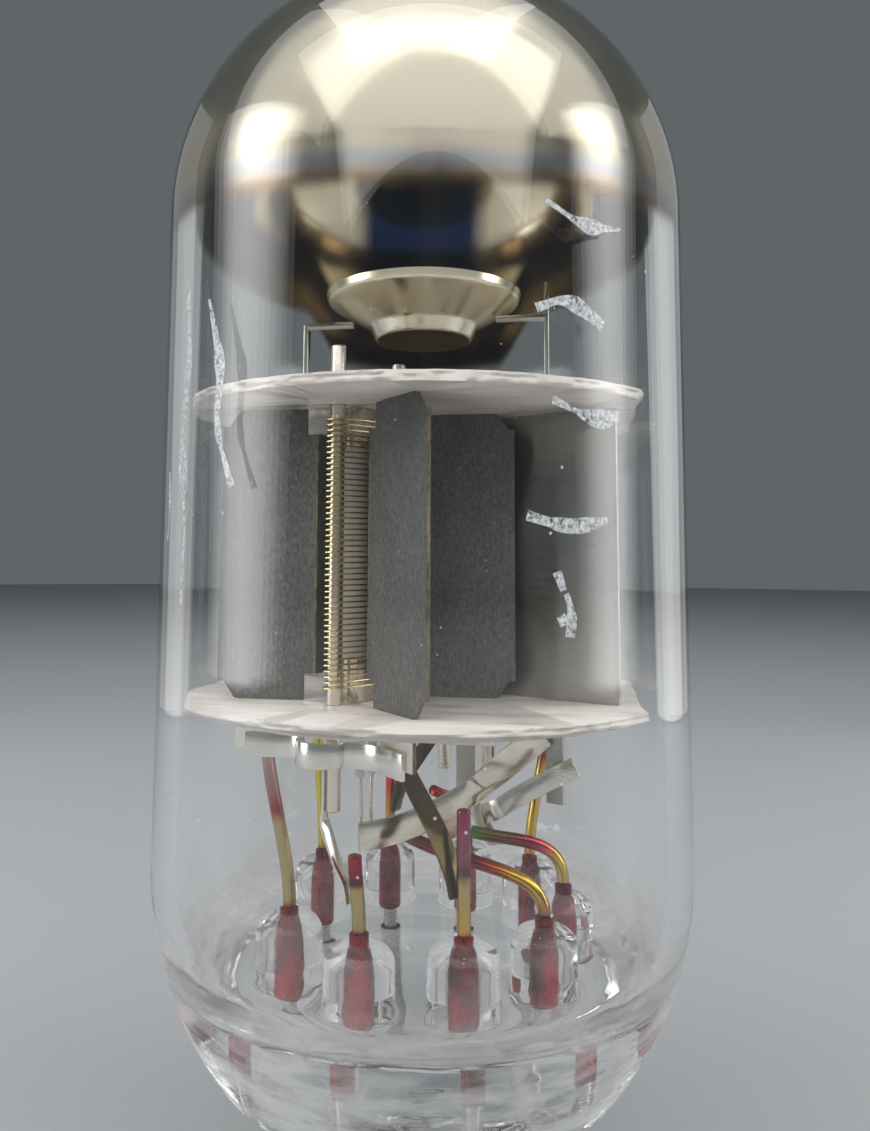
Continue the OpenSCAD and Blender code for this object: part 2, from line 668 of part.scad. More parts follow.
module heater_strap() color([0.72, 0.7, 0.64]) {
    front = concat([for (share = [-0.02, 0.25, 0.5, 0.75, 1]) strap_point(share, 0, 0)],
                   [[side_tab_x - side_tab_w / 2, strap_fold[1], under_z - strap_end_down]]);
    lean = [-0.33, -0.5, 0.8];
    ribbon(front, [[0, 0, 1], [0, 0, 1], [0, 0, 1], [-0.15, -0.25, 0.9], lean, [-1, 0, 0.9]],
           heater_strap_w, strap_t);
    ribbon([for (share = [0.62, 0.8, 0.93]) strap_point(share, -strap_flap_down, 0)],
           [for (i = [0:2]) [0, 0, 1]], heater_strap_w, strap_t * 0.9);
}

// A link from the back heater's bare ends to the end of lead 5
module heater_link() color([0.7, 0.68, 0.62]) {
    start = [heater_bare_d / 2 + strap_t / 2 + 4 * seat,
             triode_off + heater_gap / 2 + heater_link_w / 4, heater_end_z + heater_link_w / 2];
    end = lead_route(5)[LEAD_STEPS - 3] + [-heater_link_w / 6, heater_link_w / 6, -beside_strap];
    ribbon([start, start - [0, heater_gap + heater_link_w / 2, 0],
            end + heater_link_w * [-1, 1, 0.15], end],
           [[0, 0, 1], [0, 0, 1], [0.7, 0.7, 0.3], [0.7, 0.7, 0]], heater_link_w, strap_t);
}

// A strap from the fold of the heater strap to the front of the screen's right tab. Each
// row holds a point's shares of the way to the tab, of the bow and of the rise.
SIDE_STRAP_SHARES = [[0.12, 0.27, 0], [0.31, 1, 0.11], [0.66, 0.56, 0.46], [1, 0, 0.76], [1.28, 0, 1]];
module side_strap() color([0.78, 0.77, 0.72]) {
    way = side_tab_x - strap_fold[0];
    low = strap_fold_z - strap_flap_down - side_strap_w / 8;
    ribbon([for (s = SIDE_STRAP_SHARES) [strap_fold[0] + s[0] * way,
            strap_fold[1] - s[1] * side_strap_bow, low + s[2] * side_strap_rise]],
           [for (s = SIDE_STRAP_SHARES) [-0.45, 0, 0.8]], side_strap_w, strap_t);
}

// A strip from the flat of a cathode's sleeve to the left of its lead. Each row holds a
// point's shares of the way and of the drop, and the direction of its width.
STRIP_SHARES = [[0.15, 0.19, [0.2, 0.95, 0.15]], [0.45, 0.41, [0.36, 0.85, 0.3]],
                [0.76, 0.63, [0.45, 0.75, 0.42]], [0.87, 0.74, [0.3, 0.85, 0.25]],
                [0.96, 0.85, [0.15, 0.95, 0.1]], [1, 1, [0, 1, 0]]];
module cathode_strip() {
    weld = [sleeve_t / 2 + strap_t / 2 + seat, sleeve_w * 0.28 - triode_off];
    low = under_z - sleeve_out;
    way = pin_xy(3) + [-beside_strap, strap_t / 4] - weld;
    color([0.3, 0.24, 0.14]) ribbon(
        concat([concat(weld, low + sleeve_out - mica_fit), concat(weld, low)],
               [for (s = STRIP_SHARES) concat(weld + s[0] * way, low - s[1] * cathode_strip_drop)]),
        concat([[0, 1, 0], [0, 1, 0]], [for (s = STRIP_SHARES) s[2]]),
        cathode_strip_w, strap_t);
}

// A ribbon welded beside an outer grid rod that reaches down below the micas; meet is
// the point of the lead that it runs to. Drawn for the front triode.
LINK_SIDE = [-0.834, -0.551];
module grid_link(down, meet) {
    rod = [0, -outer_rod_y] + (rod_d / 2 + grid_link_t / 2 + seat) * LINK_SIDE;
    edge_on = [-LINK_SIDE[1], LINK_SIDE[0], 0];
    foot = meet + [-lead_d / 2 - grid_link_t / 2 - 4 * seat, 0, 0];
    low = under_z - down;
    color([0.8, 0.79, 0.74]) ribbon([concat(rod, low + link_weld_l), concat(rod, low - seat),
            concat(rod + [link_bow / 8, 0], low - link_foot_l / 2),
            concat(rod + [link_bow / 4, 0], low - link_foot_l),
            foot + [-link_bow, -link_bow / 4, 1.6 * link_foot_l],
            foot + [-link_bow / 4, 0, 0.4 * link_foot_l], foot - [0, 0, link_foot_l]],
           [edge_on, edge_on, [0.27, -1, 0], [-0.04, -1, 0], [0, -1, 0], [0, -1, 0], [0, -1, 0]],
           grid_link_w, grid_link_t);
}

// Getter

module getter_dish() color([0.62, 0.58, 0.5]) translate([0, 0, roof_top_z + boss_up])
    rotate_extrude($fn = GLASS_FN) polygon([
        [0, 0], [boss_r, 0], [boss_r + 0.3, boss_step],
        [dish_r - 0.1, boss_step + flange_h], [dish_r, boss_step + flange_h + lip_h],
        [dish_r - dish_t, boss_step + flange_h + lip_h],
        [dish_r - 0.1 - dish_t, boss_step + flange_h + dish_t],
        [boss_r + 0.3 - dish_t, boss_step + dish_t], [boss_r - dish_t, dish_t], [0, dish_t]]);

// A leg stands on the top mica and its arm reaches under the dish's flange
ARM_SHARE = 0.45;
module getter_leg(side) color([0.7, 0.68, 0.62]) rotate(leg_angle + (side > 0 ? 0 : 180)) {
    arm_r = boss_r + 0.3 + (dish_r - boss_r - 0.4) * ARM_SHARE;
    arm_z = roof_top_z + boss_up + boss_step + flange_h * ARM_SHARE - 3 * seat;
    translate([leg_off, -leg_w / 2, roof_top_z + seat])
        cube([leg_t, leg_w, arm_z - roof_top_z - seat + (side > 0 ? leg_rise : 0)]);
    translate([arm_r, -leg_w / 2, arm_z - leg_t]) cube([leg_off - arm_r + leg_t, leg_w, leg_t]);
}

glass_bulb();
glass_stem();
getter_film();
getter_dish();
getter_leg(-1);  // getter_leg_left
getter_leg(1);  // getter_leg_right
mica(mica_r, top_mica_t, roof_z);  // top_mica
mica(mica_r, lower_mica_t, mica_z - lower_mica_t);  // lower_mica
mica(under_mica_r, under_mica_t, under_z);  // under_mica
screen();
anode(-1);  // anode_front_left
anode(1);  // anode_front_right
rotate(180) anode(1);  // anode_back_left
rotate(180) anode(-1);  // anode_back_right
anode_strap();  // anode_strap_front
rotate(180) anode_strap();  // anode_strap_back
grid_rod(outer_rod_y, front_outer_down);  // grid_rod_front_outer
grid_rod(inner_rod_y, front_inner_down);  // grid_rod_front_inner
grid_rod(-outer_rod_y, back_outer_down);  // grid_rod_back_outer
grid_rod(-inner_rod_y, back_inner_down);  // grid_rod_back_inner
grid_wire();  // grid_wire_front
rotate(180) grid_wire();  // grid_wire_back
cathode();  // cathode_front
rotate(180) cathode();  // cathode_back
heater();  // heater_front
rotate(180) heater();  // heater_back
heater_strap();
heater_link();
side_strap();
cathode_strip();  // cathode_strip_front
rotate(180) cathode_strip();  // cathode_strip_back
grid_link(front_outer_down, lead_route(2)[LEAD_STEPS / 2]);  // grid_link_front
rotate(180) grid_link(back_outer_down, turned(lead_route(7)[LEAD_STEPS / 3]));  // grid_link_back
for (i = PIN_NUMBERS) {
    pin(i);
    seal_wire(i);
    lead(i);
}
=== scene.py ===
"""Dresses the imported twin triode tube: glass, getter, electrodes, wires and a plain studio."""

import logging
import math
import random
from dataclasses import dataclass, field
from enum import Enum
from typing import Sequence

import bmesh
import bpy
from mathutils import Matrix, Vector, noise


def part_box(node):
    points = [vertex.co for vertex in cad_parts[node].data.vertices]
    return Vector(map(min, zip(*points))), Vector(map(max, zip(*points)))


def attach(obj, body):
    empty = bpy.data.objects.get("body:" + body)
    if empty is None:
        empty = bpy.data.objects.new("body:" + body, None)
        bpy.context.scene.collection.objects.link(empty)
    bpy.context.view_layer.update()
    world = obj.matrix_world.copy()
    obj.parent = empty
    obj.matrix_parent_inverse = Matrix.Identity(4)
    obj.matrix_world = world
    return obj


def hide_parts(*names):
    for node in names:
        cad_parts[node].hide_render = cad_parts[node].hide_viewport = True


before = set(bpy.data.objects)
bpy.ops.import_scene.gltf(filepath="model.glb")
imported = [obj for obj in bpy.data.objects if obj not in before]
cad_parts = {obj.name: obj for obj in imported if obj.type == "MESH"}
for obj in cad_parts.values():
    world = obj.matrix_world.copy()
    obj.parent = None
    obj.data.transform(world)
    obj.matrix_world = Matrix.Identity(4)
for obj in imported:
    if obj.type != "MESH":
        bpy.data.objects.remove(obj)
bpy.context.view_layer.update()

LOG = logging.getLogger("twin_triode_tube")
MM = 0.001
BODY = "root"
PINS = 9
ENDS = ("front", "back")
MERGE = 1e-7
LEVEL = 1e-8
SHARP_ANGLE = 38.0
FLAT_ANGLE = 1.0
Point = tuple[float, float]
Colour = tuple[float, float, float]
Tint = tuple[tuple[float, Colour], ...]


def box_mm(node: str) -> tuple[Vector, Vector]:
    """Gives a CAD node's lowest and highest corners in millimetres."""
    low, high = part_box(node)
    return low / MM, high / MM


def grey(level: float) -> Colour:
    """Gives a neutral colour."""
    return (level, level, level)


# Shader expressions


class Value:
    """One number in a node tree, which takes part in Python arithmetic."""

    def __init__(self, shader: "Shader", socket: bpy.types.NodeSocket) -> None:
        """Wraps an output socket."""
        self.shader = shader
        self.socket = socket

    def _math(self, operation: str, *terms: "Value | float") -> "Value":
        """Adds a Math node.

        Args:
            operation: Blender's name for the operation.
            terms: the values that it works on, in order.

        Returns:
            The node's result.
        """
        made = self.shader.node("ShaderNodeMath", {"operation": operation}, dict(enumerate(terms)))
        return Value(self.shader, made.outputs[0])

    def __add__(self, other: "Value | float") -> "Value":
        """Adds."""
        return self._math("ADD", self, other)

    def __radd__(self, other: float) -> "Value":
        """Adds, from the right."""
        return self._math("ADD", other, self)

    def __sub__(self, other: "Value | float") -> "Value":
        """Subtracts."""
        return self._math("SUBTRACT", self, other)

    def __rsub__(self, other: float) -> "Value":
        """Subtracts, from the right."""
        return self._math("SUBTRACT", other, self)

    def __mul__(self, other: "Value | float") -> "Value":
        """Multiplies."""
        return self._math("MULTIPLY", self, other)

    def __rmul__(self, other: float) -> "Value":
        """Multiplies, from the right."""
        return self._math("MULTIPLY", other, self)

    def __pow__(self, power: "Value | float") -> "Value":
        """Raises to a power."""
        return self._math("POWER", self, power)

    def largest(self, other: "Value | float") -> "Value":
        """Takes the larger of two numbers."""
        return self._math("MAXIMUM", self, other)

    def step(self, low: float, high: float, start: float = 0.0, end: float = 1.0) -> "Value":
        """Runs smoothly from start to end while the value runs from low to high.

        Args:
            low: where the change begins.
            high: where it is complete.
            start: result below low.
            end: result above high.

        Returns:
            The eased number.
        """
        made = self.shader.node(
            "ShaderNodeMapRange",
            {"interpolation_type": "SMOOTHSTEP"},
            {"Value": self, "From Min": low, "From Max": high, "To Min": start, "To Max": end},
        )
        return Value(self.shader, made.outputs["Result"])


Given = Value | float | Sequence[float] | bpy.types.NodeSocket


class Shader:
    """One material's node tree and the few methods that fill it."""

    def __init__(self, name: str) -> None:
        """Starts an empty material.

        Args:
            name: the material's name.
        """
        self.material = bpy.data.materials.new(name)
        self.material.use_nodes = True
        self.tree = self.material.node_tree
        self.tree.nodes.clear()
        self.place = self.node("ShaderNodeTexCoord").outputs["Object"]

    def node(
        self, kind: str, settings: dict | None = None, sockets: dict[str | int, Given] | None = None
    ) -> bpy.types.Node:
        """Adds a node, with its settings before its sockets.

        Args:
            kind: Blender's name for the node.
            settings: properties of the node; stops are a ramp's (position, colour) pairs.
            sockets: a value or a link for each named or numbered input.

        Returns:
            The new node.
        """
        made = self.tree.nodes.new(kind)
        for key, setting in (settings or {}).items():
            if key == "stops":
                self._set_stops(made.color_ramp, setting)
            else:
                setattr(made, key, setting)
        for key, given in (sockets or {}).items():
            link = given.socket if isinstance(given, Value) else given
            if isinstance(link, bpy.types.NodeSocket):
                self.tree.links.new(link, made.inputs[key])
            else:
                made.inputs[key].default_value = self._fitted(made.inputs[key], link)
        return made

    @staticmethod
    def _fitted(socket: bpy.types.NodeSocket, given: float | Sequence[float]) -> float | tuple:
        """Gives a colour socket its fourth number."""
        if socket.type == "RGBA" and len(given) == 3:
            return (*given, 1.0)
        return given

    @staticmethod
    def _set_stops(ramp: bpy.types.ColorRamp, stops: Tint) -> None:
        """Sets a colour ramp's stops."""
        while len(ramp.elements) < len(stops):
            ramp.elements.new(1.0)
        for element, (position, colour) in zip(ramp.elements, stops):
            element.position = position
            element.color = (*colour, 1.0)

    def axis(self, name: str) -> Value:
        """Reads one object coordinate, in millimetres."""
        made = self.node("ShaderNodeSeparateXYZ", sockets={0: self.place})
        return Value(self, made.outputs[name]) * (1 / MM)

    def carried(self, name: str) -> Value:
        """Reads a number that the mesh carries on its points."""
        made = self.node("ShaderNodeAttribute", {"attribute_name": name})
        return Value(self, made.outputs["Fac"])

    def stretched(self, scale: Sequence[float], turn: float = 0.0) -> bpy.types.NodeSocket:
        """Gives object coordinates in millimetres, stretched and turned about the axis.

        Args:
            scale: how much finer than a millimetre the pattern is along each axis.
            turn: turn about the tube's axis, in degrees.

        Returns:
            The mapped coordinates.
        """
        cells = tuple(MM / s for s in scale)
        sockets = {"Vector": self.place, "Rotation": (0, 0, math.radians(turn)), "Scale": cells}
        return self.node("ShaderNodeMapping", {"vector_type": "TEXTURE"}, sockets).outputs[0]

    def grain(
        self, scale: float | Sequence[float], detail: float = 3.0, turn: float = 0.0, rough: float = 0.5
    ) -> Value:
        """Adds a noise pattern.

        Args:
            scale: cells per millimetre, along all axes or along each.
            detail: layers of finer noise.
            turn: turn of the pattern about the tube's axis, in degrees.
            rough: weight of the finer layers.

        Returns:
            A number round a half.
        """
        spread = (scale,) * 3 if isinstance(scale, (int, float)) else scale
        place = self.stretched(spread, turn)
        sockets = {"Vector": place, "Scale": 1.0, "Detail": detail, "Roughness": rough}
        return Value(self, self.node("ShaderNodeTexNoise", sockets=sockets).outputs["Fac"])

    def specks(self, per_mm: float, size: float) -> Value:
        """Scatters small round specks.

        Args:
            per_mm: cells per millimetre.
            size: radius of a speck as a share of a cell.

        Returns:
            1 in a speck and 0 outside.
        """
        sockets = {"Vector": self.stretched((per_mm,) * 3), "Scale": 1.0}
        made = self.node("ShaderNodeTexVoronoi", sockets=sockets)
        return Value(self, made.outputs["Distance"]).step(size * 0.6, size, 1.0, 0.0)

    def mix(self, share: Given, first: Given, second: Given) -> bpy.types.NodeSocket:
        """Mixes two colours.

        Args:
            share: share of the second colour.
            first: the first colour.
            second: the second colour.

        Returns:
            The mixed colour.
        """
        made = self.node("ShaderNodeMix", {"data_type": "RGBA"}, {0: share, 6: first, 7: second})
        return made.outputs[2]

    def ramp(self, value: Given, stops: Tint) -> bpy.types.NodeSocket:
        """Turns a number into a colour between stops."""
        return self.node("ShaderNodeValToRGB", {"stops": stops}, {0: value}).outputs["Color"]

    def bump(self, height: Given, depth_mm: float) -> bpy.types.NodeSocket:
        """Gives the normal of a relief that is depth_mm deep where the height runs from 0 to 1."""
        sockets = {"Height": height, "Distance": depth_mm * MM, "Strength": 1.0}
        return self.node("ShaderNodeBump", sockets=sockets).outputs["Normal"]

    def surface(self, **sockets: Given) -> bpy.types.NodeSocket:
        """Adds a Principled surface; an underscore in a name stands for a space."""
        given = {key.replace("_", " "): value for key, value in sockets.items()}
        return self.node("ShaderNodeBsdfPrincipled", sockets=given).outputs[0]

    def blend(
        self, share: Given, first: bpy.types.NodeSocket, second: bpy.types.NodeSocket
    ) -> bpy.types.NodeSocket:
        """Mixes two surfaces."""
        return self.node("ShaderNodeMixShader", sockets={0: share, 1: first, 2: second}).outputs[0]

    def done(self, surface: bpy.types.NodeSocket) -> bpy.types.Material:
        """Joins the surface to the output and gives the material."""
        self.node("ShaderNodeOutputMaterial", sockets={"Surface": surface})
        return self.material

    def plain(self, **sockets: Given) -> bpy.types.Material:
        """Gives the material one Principled surface with these sockets."""
        return self.done(self.surface(**sockets))


# Finishes


@dataclass(frozen=True)
class ClearGlass:
    """Clear glass with dust, faint haze and the slight waves of blown tubing; the white haze low in the stem
    and on the beads also paints bright scattered reflections.
    """

    name: str = "clear_glass"
    ior: float = 1.5
    wave_mm: float = 0.012
    bowl_wave: float = 5.0
    # These heights and this radius place the white haze low in the stem, which is partly cloudy pressed glass
    # and partly painted reflection.
    haze_low_z: float = 9.5
    haze_high_z: float = 14.0
    haze_from_r: float = 8.4
    bead_low_z: float = 9.8
    bead_high_z: float = 12.4
    bead_top_z: float = 13.5
    bead_haze_and_sheen: float = 0.12
    dust_share: float = 0.6
    streak_share: float = 0.012

    def material(self) -> bpy.types.Material:
        """Builds the material."""
        shader = Shader(self.name)
        height = shader.axis("Z")
        radius = (shader.axis("X") ** 2 + shader.axis("Y") ** 2) ** 0.5
        outside = radius.step(self.haze_from_r, self.haze_from_r + 0.6)
        low = height.step(self.haze_low_z + 1.0, self.haze_high_z + 2.0, 1.0, 0.0) * outside
        ripples = low * shader.grain((0.3, 0.3, 0.8), 2.0) * self.bowl_wave
        waves = shader.grain((0.22, 0.22, 0.07), 1.0) + ripples
        glass = shader.surface(
            Base_Color=grey(1.0),
            Roughness=0.0,
            IOR=self.ior,
            Transmission_Weight=1.0,
            Specular_IOR_Level=1.0,
            Normal=shader.bump(waves, self.wave_mm),
        )
        dust = shader.surface(Base_Color=grey(0.85), Roughness=0.9)
        fine = shader.specks(1.3, 0.05) * shader.grain(0.16).step(0.46, 0.62)
        lint = shader.specks(0.5, 0.035)
        streaks = shader.grain((0.5, 0.5, 0.06), 4.0).step(0.5, 0.85) * self.streak_share
        swirl = shader.grain((0.22, 0.22, 0.8), 4.0).step(0.36, 0.62, 0.12, 0.8)
        # White haze low in the stem and on the beads: partly real cloudy pressed glass, partly a painted
        # reflection of the bright light that the thick glass scatters.
        waist_haze_and_sheen = height.step(self.haze_low_z, self.haze_high_z, 1.0, 0.0) * outside * swirl
        rising = height.step(self.bead_low_z, self.bead_high_z, 0.0, self.bead_haze_and_sheen)
        bead = rising * height.step(self.bead_top_z, self.bead_top_z + 0.5, 1.0, 0.0) * (1 - outside)
        share = fine.largest(lint) * self.dust_share + streaks + waist_haze_and_sheen + bead * swirl
        # The white diffuse layer holds the dust specks, the streaks and the haze with its painted reflection.
        dusty = shader.blend(share, glass, dust)
        clear = shader.node("ShaderNodeBsdfTransparent", sockets={0: grey(0.97)}).outputs[0]
        shadow = shader.node("ShaderNodeLightPath").outputs["Is Shadow Ray"]
        return shader.done(shader.blend(shadow, dusty, clear))


@dataclass(frozen=True)
class GetterMirror:
    """Silver film that thins out to a brown, see-through edge and hangs lower at the back, with a painted
    gold glint on its inside that stays off the dark middle of the back.
    """

    name: str
    edge_z: float
    stops: Tint
    # A gold colour painted on as a glint, with its share and its starting height above the edge; the film's
    # inside uses it to paint bright reflections.
    glow: Colour = (0.86, 0.74, 0.52)
    painted_glint_share: float = 0.0
    painted_glint_from: float = 3.2
    rough: float = 0.08
    fringe: float = 1.0
    turn: float = 33.4
    side_rise: float = 0.1
    lobe_drop: float = 2.4
    colours_h: float = 6.0
    back_y: Point = (4.0, 8.5)
    lobe_x: Point = (4.2, 6.4)
    # The sideways reach of the dark middle of the back, which keeps its dark film colour and painted dark
    # reflection and gets no painted glint.
    dark_film_and_reflection_x: Point = (2.6, 4.0)

    def material(self) -> bpy.types.Material:
        """Builds the material."""
        shader = Shader(self.name)
        clouds = shader.grain(0.25)
        cos, sin = math.cos(math.radians(self.turn)), math.sin(math.radians(self.turn))
        x, y = shader.axis("X"), shader.axis("Y")
        right = ((x * cos + y * sin) ** 2) ** 0.5
        back = (y * cos - x * sin).step(*self.back_y)
        lobe = back * right.step(*self.lobe_x, 1.0, 0.0)
        edge = right * self.side_rise - lobe * self.lobe_drop + self.edge_z
        height = shader.axis("Z") - edge + (clouds - 0.5) * 0.6
        colour = shader.ramp(height.step(0.0, self.colours_h), self.stops)
        # Painted gold glint: it stands in for bright reflections, begins above a height and stays off the
        # dark middle of the back.
        dark = back * right.step(*self.dark_film_and_reflection_x, 1.0, 0.0)
        gold = (1 - dark) * height.step(self.painted_glint_from, self.painted_glint_from + 1.2) * self.painted_glint_share
        warm = shader.mix(gold, colour, self.glow)
        pits = shader.specks(0.7, 0.04) * shader.grain(0.3).step(0.5, 0.65)
        film = shader.surface(
            Base_Color=shader.mix(pits * 0.8, warm, (0.05, 0.05, 0.06)),
            Metallic=1.0,
            Roughness=clouds.step(0.3, 0.7, self.rough, self.rough * 2),
        )
        clear = shader.node("ShaderNodeBsdfTransparent").outputs[0]
        cover = height.step(0.0, self.fringe)
        return shader.done(shader.blend(cover, clear, film))


OUTER_FILM: Tint = (
    (0.0, (0.16, 0.1, 0.06)),
    (0.04, (0.3, 0.25, 0.19)),
    (0.1, (0.27, 0.275, 0.285)),
    (0.2, (0.4, 0.36, 0.28)),
    (1.0, (0.48, 0.44, 0.34)),
)
# Colours of the film's inside: its own dark brown to black, turning navy towards the top as a painted dark
# reflection.
INNER_FILM_AND_PAINTED_REFLECTION: Tint = (
    (0.0, (0.3, 0.2, 0.1)),
    (0.08, (0.2, 0.14, 0.07)),
    (0.3, (0.03, 0.022, 0.014)),
    (0.7, (0.008, 0.009, 0.015)),
    (1.0, (0.012, 0.025, 0.08)),
)


@dataclass(frozen=True)
class SpunDish:
    """Satin heat-browned sheet: a dark flat boss, a bright step and a greyer flange."""

    boss_r: float
    step_r: float
    name: str = "spun_dish"

    def material(self) -> bpy.types.Material:
        """Builds the material."""
        shader = Shader(self.name)
        radius = (shader.axis("X") ** 2 + shader.axis("Y") ** 2) ** 0.5
        broad = shader.grain(0.35, 1.0)
        flange = shader.mix(broad.step(0.4, 0.7) * 0.5, (0.95, 0.87, 0.66), (0.8, 0.69, 0.46))
        bright = radius.step(self.boss_r - 0.12, self.boss_r + 0.02)
        stepped = shader.mix(bright, (0.07, 0.055, 0.025), (0.9, 0.86, 0.72))
        colour = shader.mix(radius.step(self.step_r, self.step_r + 0.1), stepped, flange)
        return shader.plain(
            Base_Color=colour,
            Metallic=1.0,
            Roughness=broad.step(0.3, 0.7, 0.2, 0.26),
            Specular_Tint=(0.45, 0.4, 0.3),
        )


@dataclass(frozen=True)
class SheetMetal:
    """Rolled bare metal with fine scratches, smudges and a heat tint."""

    name: str
    base: Colour
    tint: Colour
    rough: float = 0.26
    scratch: tuple[float, float, float] = (1.0, 1.0, 24.0)
    turn: float = 0.0
    scratch_mm: float = 0.006
    tint_share: float = 0.5
    shine: float = 0.3

    def material(self) -> bpy.types.Material:
        """Builds the material."""
        shader = Shader(self.name)
        lines = shader.grain(self.scratch, 5.0, self.turn, 0.65)
        stains = shader.grain(0.35, 4.0).step(0.45, 0.75)
        colour = shader.mix(stains * self.tint_share, self.base, self.tint)
        worn = shader.mix(lines.step(0.45, 0.75) * self.shine, colour, grey(0.88))
        roughness = lines.step(0.3, 0.7, self.rough * 0.75, self.rough * 1.3) + stains * 0.1
        return shader.plain(
            Base_Color=worn,
            Metallic=1.0,
            Roughness=roughness,
            Normal=shader.bump(lines, self.scratch_mm),
        )


@dataclass(frozen=True)
class CarbonisedSheet:
    """Matt dark grey anode coating with a fine bright grain and dust specks, and bare metal below a set
    height.
    """

    name: str = "carbonised_sheet"
    dark: Colour = (0.075, 0.077, 0.071)
    light: Colour = (0.25, 0.25, 0.235)
    bare: Colour = (0.85, 0.81, 0.7)
    bare_z: float = 21.0

    def material(self) -> bpy.types.Material:
        """Builds the material."""
        shader = Shader(self.name)
        fine = shader.grain((9.0, 9.0, 5.0), 4.0, rough=0.7)
        broad = shader.grain((0.5, 0.5, 0.3), 3.0)
        colour = shader.mix(fine.step(0.25, 0.85), self.dark, self.light)
        cloudy = shader.mix(broad.step(0.45, 0.75) * 0.4, colour, (0.07, 0.07, 0.072))
        dots = shader.specks(1.6, 0.1) * shader.grain(0.7).step(0.5, 0.6)
        dusty = shader.mix(dots * 0.7, cloudy, grey(0.45))
        coated = (shader.axis("Z") + fine * 0.1).step(self.bare_z, self.bare_z + 0.08)
        return shader.plain(
            Base_Color=shader.mix(coated, self.bare, dusty),
            Metallic=coated * -0.75 + 1.0,
            Roughness=fine.step(0.3, 0.7, 0.24, 0.42) + coated * 0.29,
            Normal=shader.bump(fine * coated, 0.03),
        )


@dataclass(frozen=True)
class MicaSheet:
    """Beige, faintly pink mica with brown streaks and layered edges."""

    name: str = "mica_sheet"
    stops: Tint = ((0.3, (0.6, 0.51, 0.44)), (0.44, (0.86, 0.8, 0.73)), (0.7, (0.95, 0.92, 0.88)))

    def material(self) -> bpy.types.Material:
        """Builds the material."""
        shader = Shader(self.name)
        streaks = shader.grain((0.28, 1.3, 3.0), 5.0, 24.0, 0.6)
        clouds = shader.grain(0.3, 3.0)
        layers = shader.grain((0.5, 0.5, 14.0), 3.0)
        colour = shader.ramp(streaks, self.stops)
        warm = shader.mix(clouds.step(0.4, 0.7) * 0.3, colour, (0.66, 0.54, 0.5))
        split = shader.mix(layers.step(0.5, 0.62) * 0.25, warm, (0.82, 0.79, 0.74))
        return shader.plain(
            Base_Color=split,
            Roughness=streaks.step(0.3, 0.7, 0.32, 0.5),
            Coat_Weight=clouds.step(0.3, 0.7, 0.15, 0.35),
            Normal=shader.bump(streaks + layers * 0.3, 0.03),
        )


@dataclass(frozen=True)
class CutEdge:
    """Bronze-brown bare metal where a sheet was cut."""

    name: str = "cut_edge"

    def material(self) -> bpy.types.Material:
        """Builds the material."""
        shader = Shader(self.name)
        fine = shader.grain((6.0, 6.0, 2.0), 4.0)
        colour = shader.mix(fine.step(0.35, 0.7), (0.13, 0.1, 0.065), (0.3, 0.25, 0.17))
        return shader.plain(
            Base_Color=colour,
            Metallic=0.7,
            Roughness=fine.step(0.3, 0.7, 0.35, 0.55),
            Normal=shader.bump(fine, 0.02),
        )


@dataclass(frozen=True)
class CoatedSleeve:
    """Chalky sprayed coating between two heights, and bare bright metal beyond them."""

    name: str
    low_z: float
    high_z: float
    base: Colour = (0.74, 0.71, 0.68)
    stain: Colour = (0.52, 0.47, 0.45)
    bare: Colour = (0.78, 0.7, 0.54)

    def material(self) -> bpy.types.Material:
        """Builds the material."""
        shader = Shader(self.name)
        fine = shader.grain(12.0, 4.0)
        broad = shader.grain(0.8, 3.0)
        colour = shader.mix(broad.step(0.4, 0.75) * 0.5, self.base, self.stain)
        coating = shader.surface(
            Base_Color=shader.mix(fine.step(0.4, 0.7) * 0.3, colour, grey(0.88)),
            Roughness=fine.step(0.3, 0.7, 0.75, 0.95),
            Normal=shader.bump(fine, 0.02),
        )
        metal = shader.surface(
            Base_Color=shader.mix(broad.step(0.4, 0.7) * 0.4, self.bare, grey(0.5)),
            Metallic=1.0,
            Roughness=fine.step(0.3, 0.7, 0.18, 0.3),
        )
        height = shader.axis("Z") + (fine - 0.5) * 0.06
        above = height.step(self.low_z - 0.02, self.low_z + 0.02)
        below = height.step(self.high_z - 0.02, self.high_z + 0.02, 1.0, 0.0)
        return shader.done(shader.blend(above * below, metal, coating))


@dataclass(frozen=True)
class SilverInk:
    """Flaked silver ink with gaps where it has worn off."""

    name: str = "silver_ink"

    def material(self) -> bpy.types.Material:
        """Builds the material."""
        shader = Shader(self.name)
        flakes = shader.grain((7.0, 7.0, 7.0), 4.0, rough=0.7)
        worn = shader.grain((4.5, 4.5, 4.5), 5.0, rough=0.8)
        colour = shader.mix(flakes.step(0.35, 0.65), (0.5, 0.53, 0.56), (0.9, 0.91, 0.92))
        return shader.plain(
            Base_Color=colour,
            Metallic=0.3,
            Roughness=flakes.step(0.3, 0.7, 0.4, 0.6),
            Alpha=worn.step(0.4, 0.5),
            Normal=shader.bump(flakes, 0.03),
        )


@dataclass(frozen=True)
class CladWire:
    """Red-oxidised copper cladding, darker where it is scorched."""

    name: str = "clad_wire"
    stops: Tint = ((0.34, (0.03, 0.001, 0.003)), (0.48, (0.2, 0.002, 0.01)), (0.72, (0.46, 0.006, 0.02)))

    def material(self) -> bpy.types.Material:
        """Builds the material."""
        shader = Shader(self.name)
        clouds = shader.grain((1.2, 1.2, 0.6), 4.0)
        fine = shader.grain((8.0, 8.0, 3.0), 3.0)
        colour = shader.ramp(clouds, self.stops)
        return shader.plain(
            Base_Color=colour,
            Metallic=0.75,
            Roughness=fine.step(0.3, 0.7, 0.16, 0.3),
            Normal=shader.bump(fine, 0.01),
        )


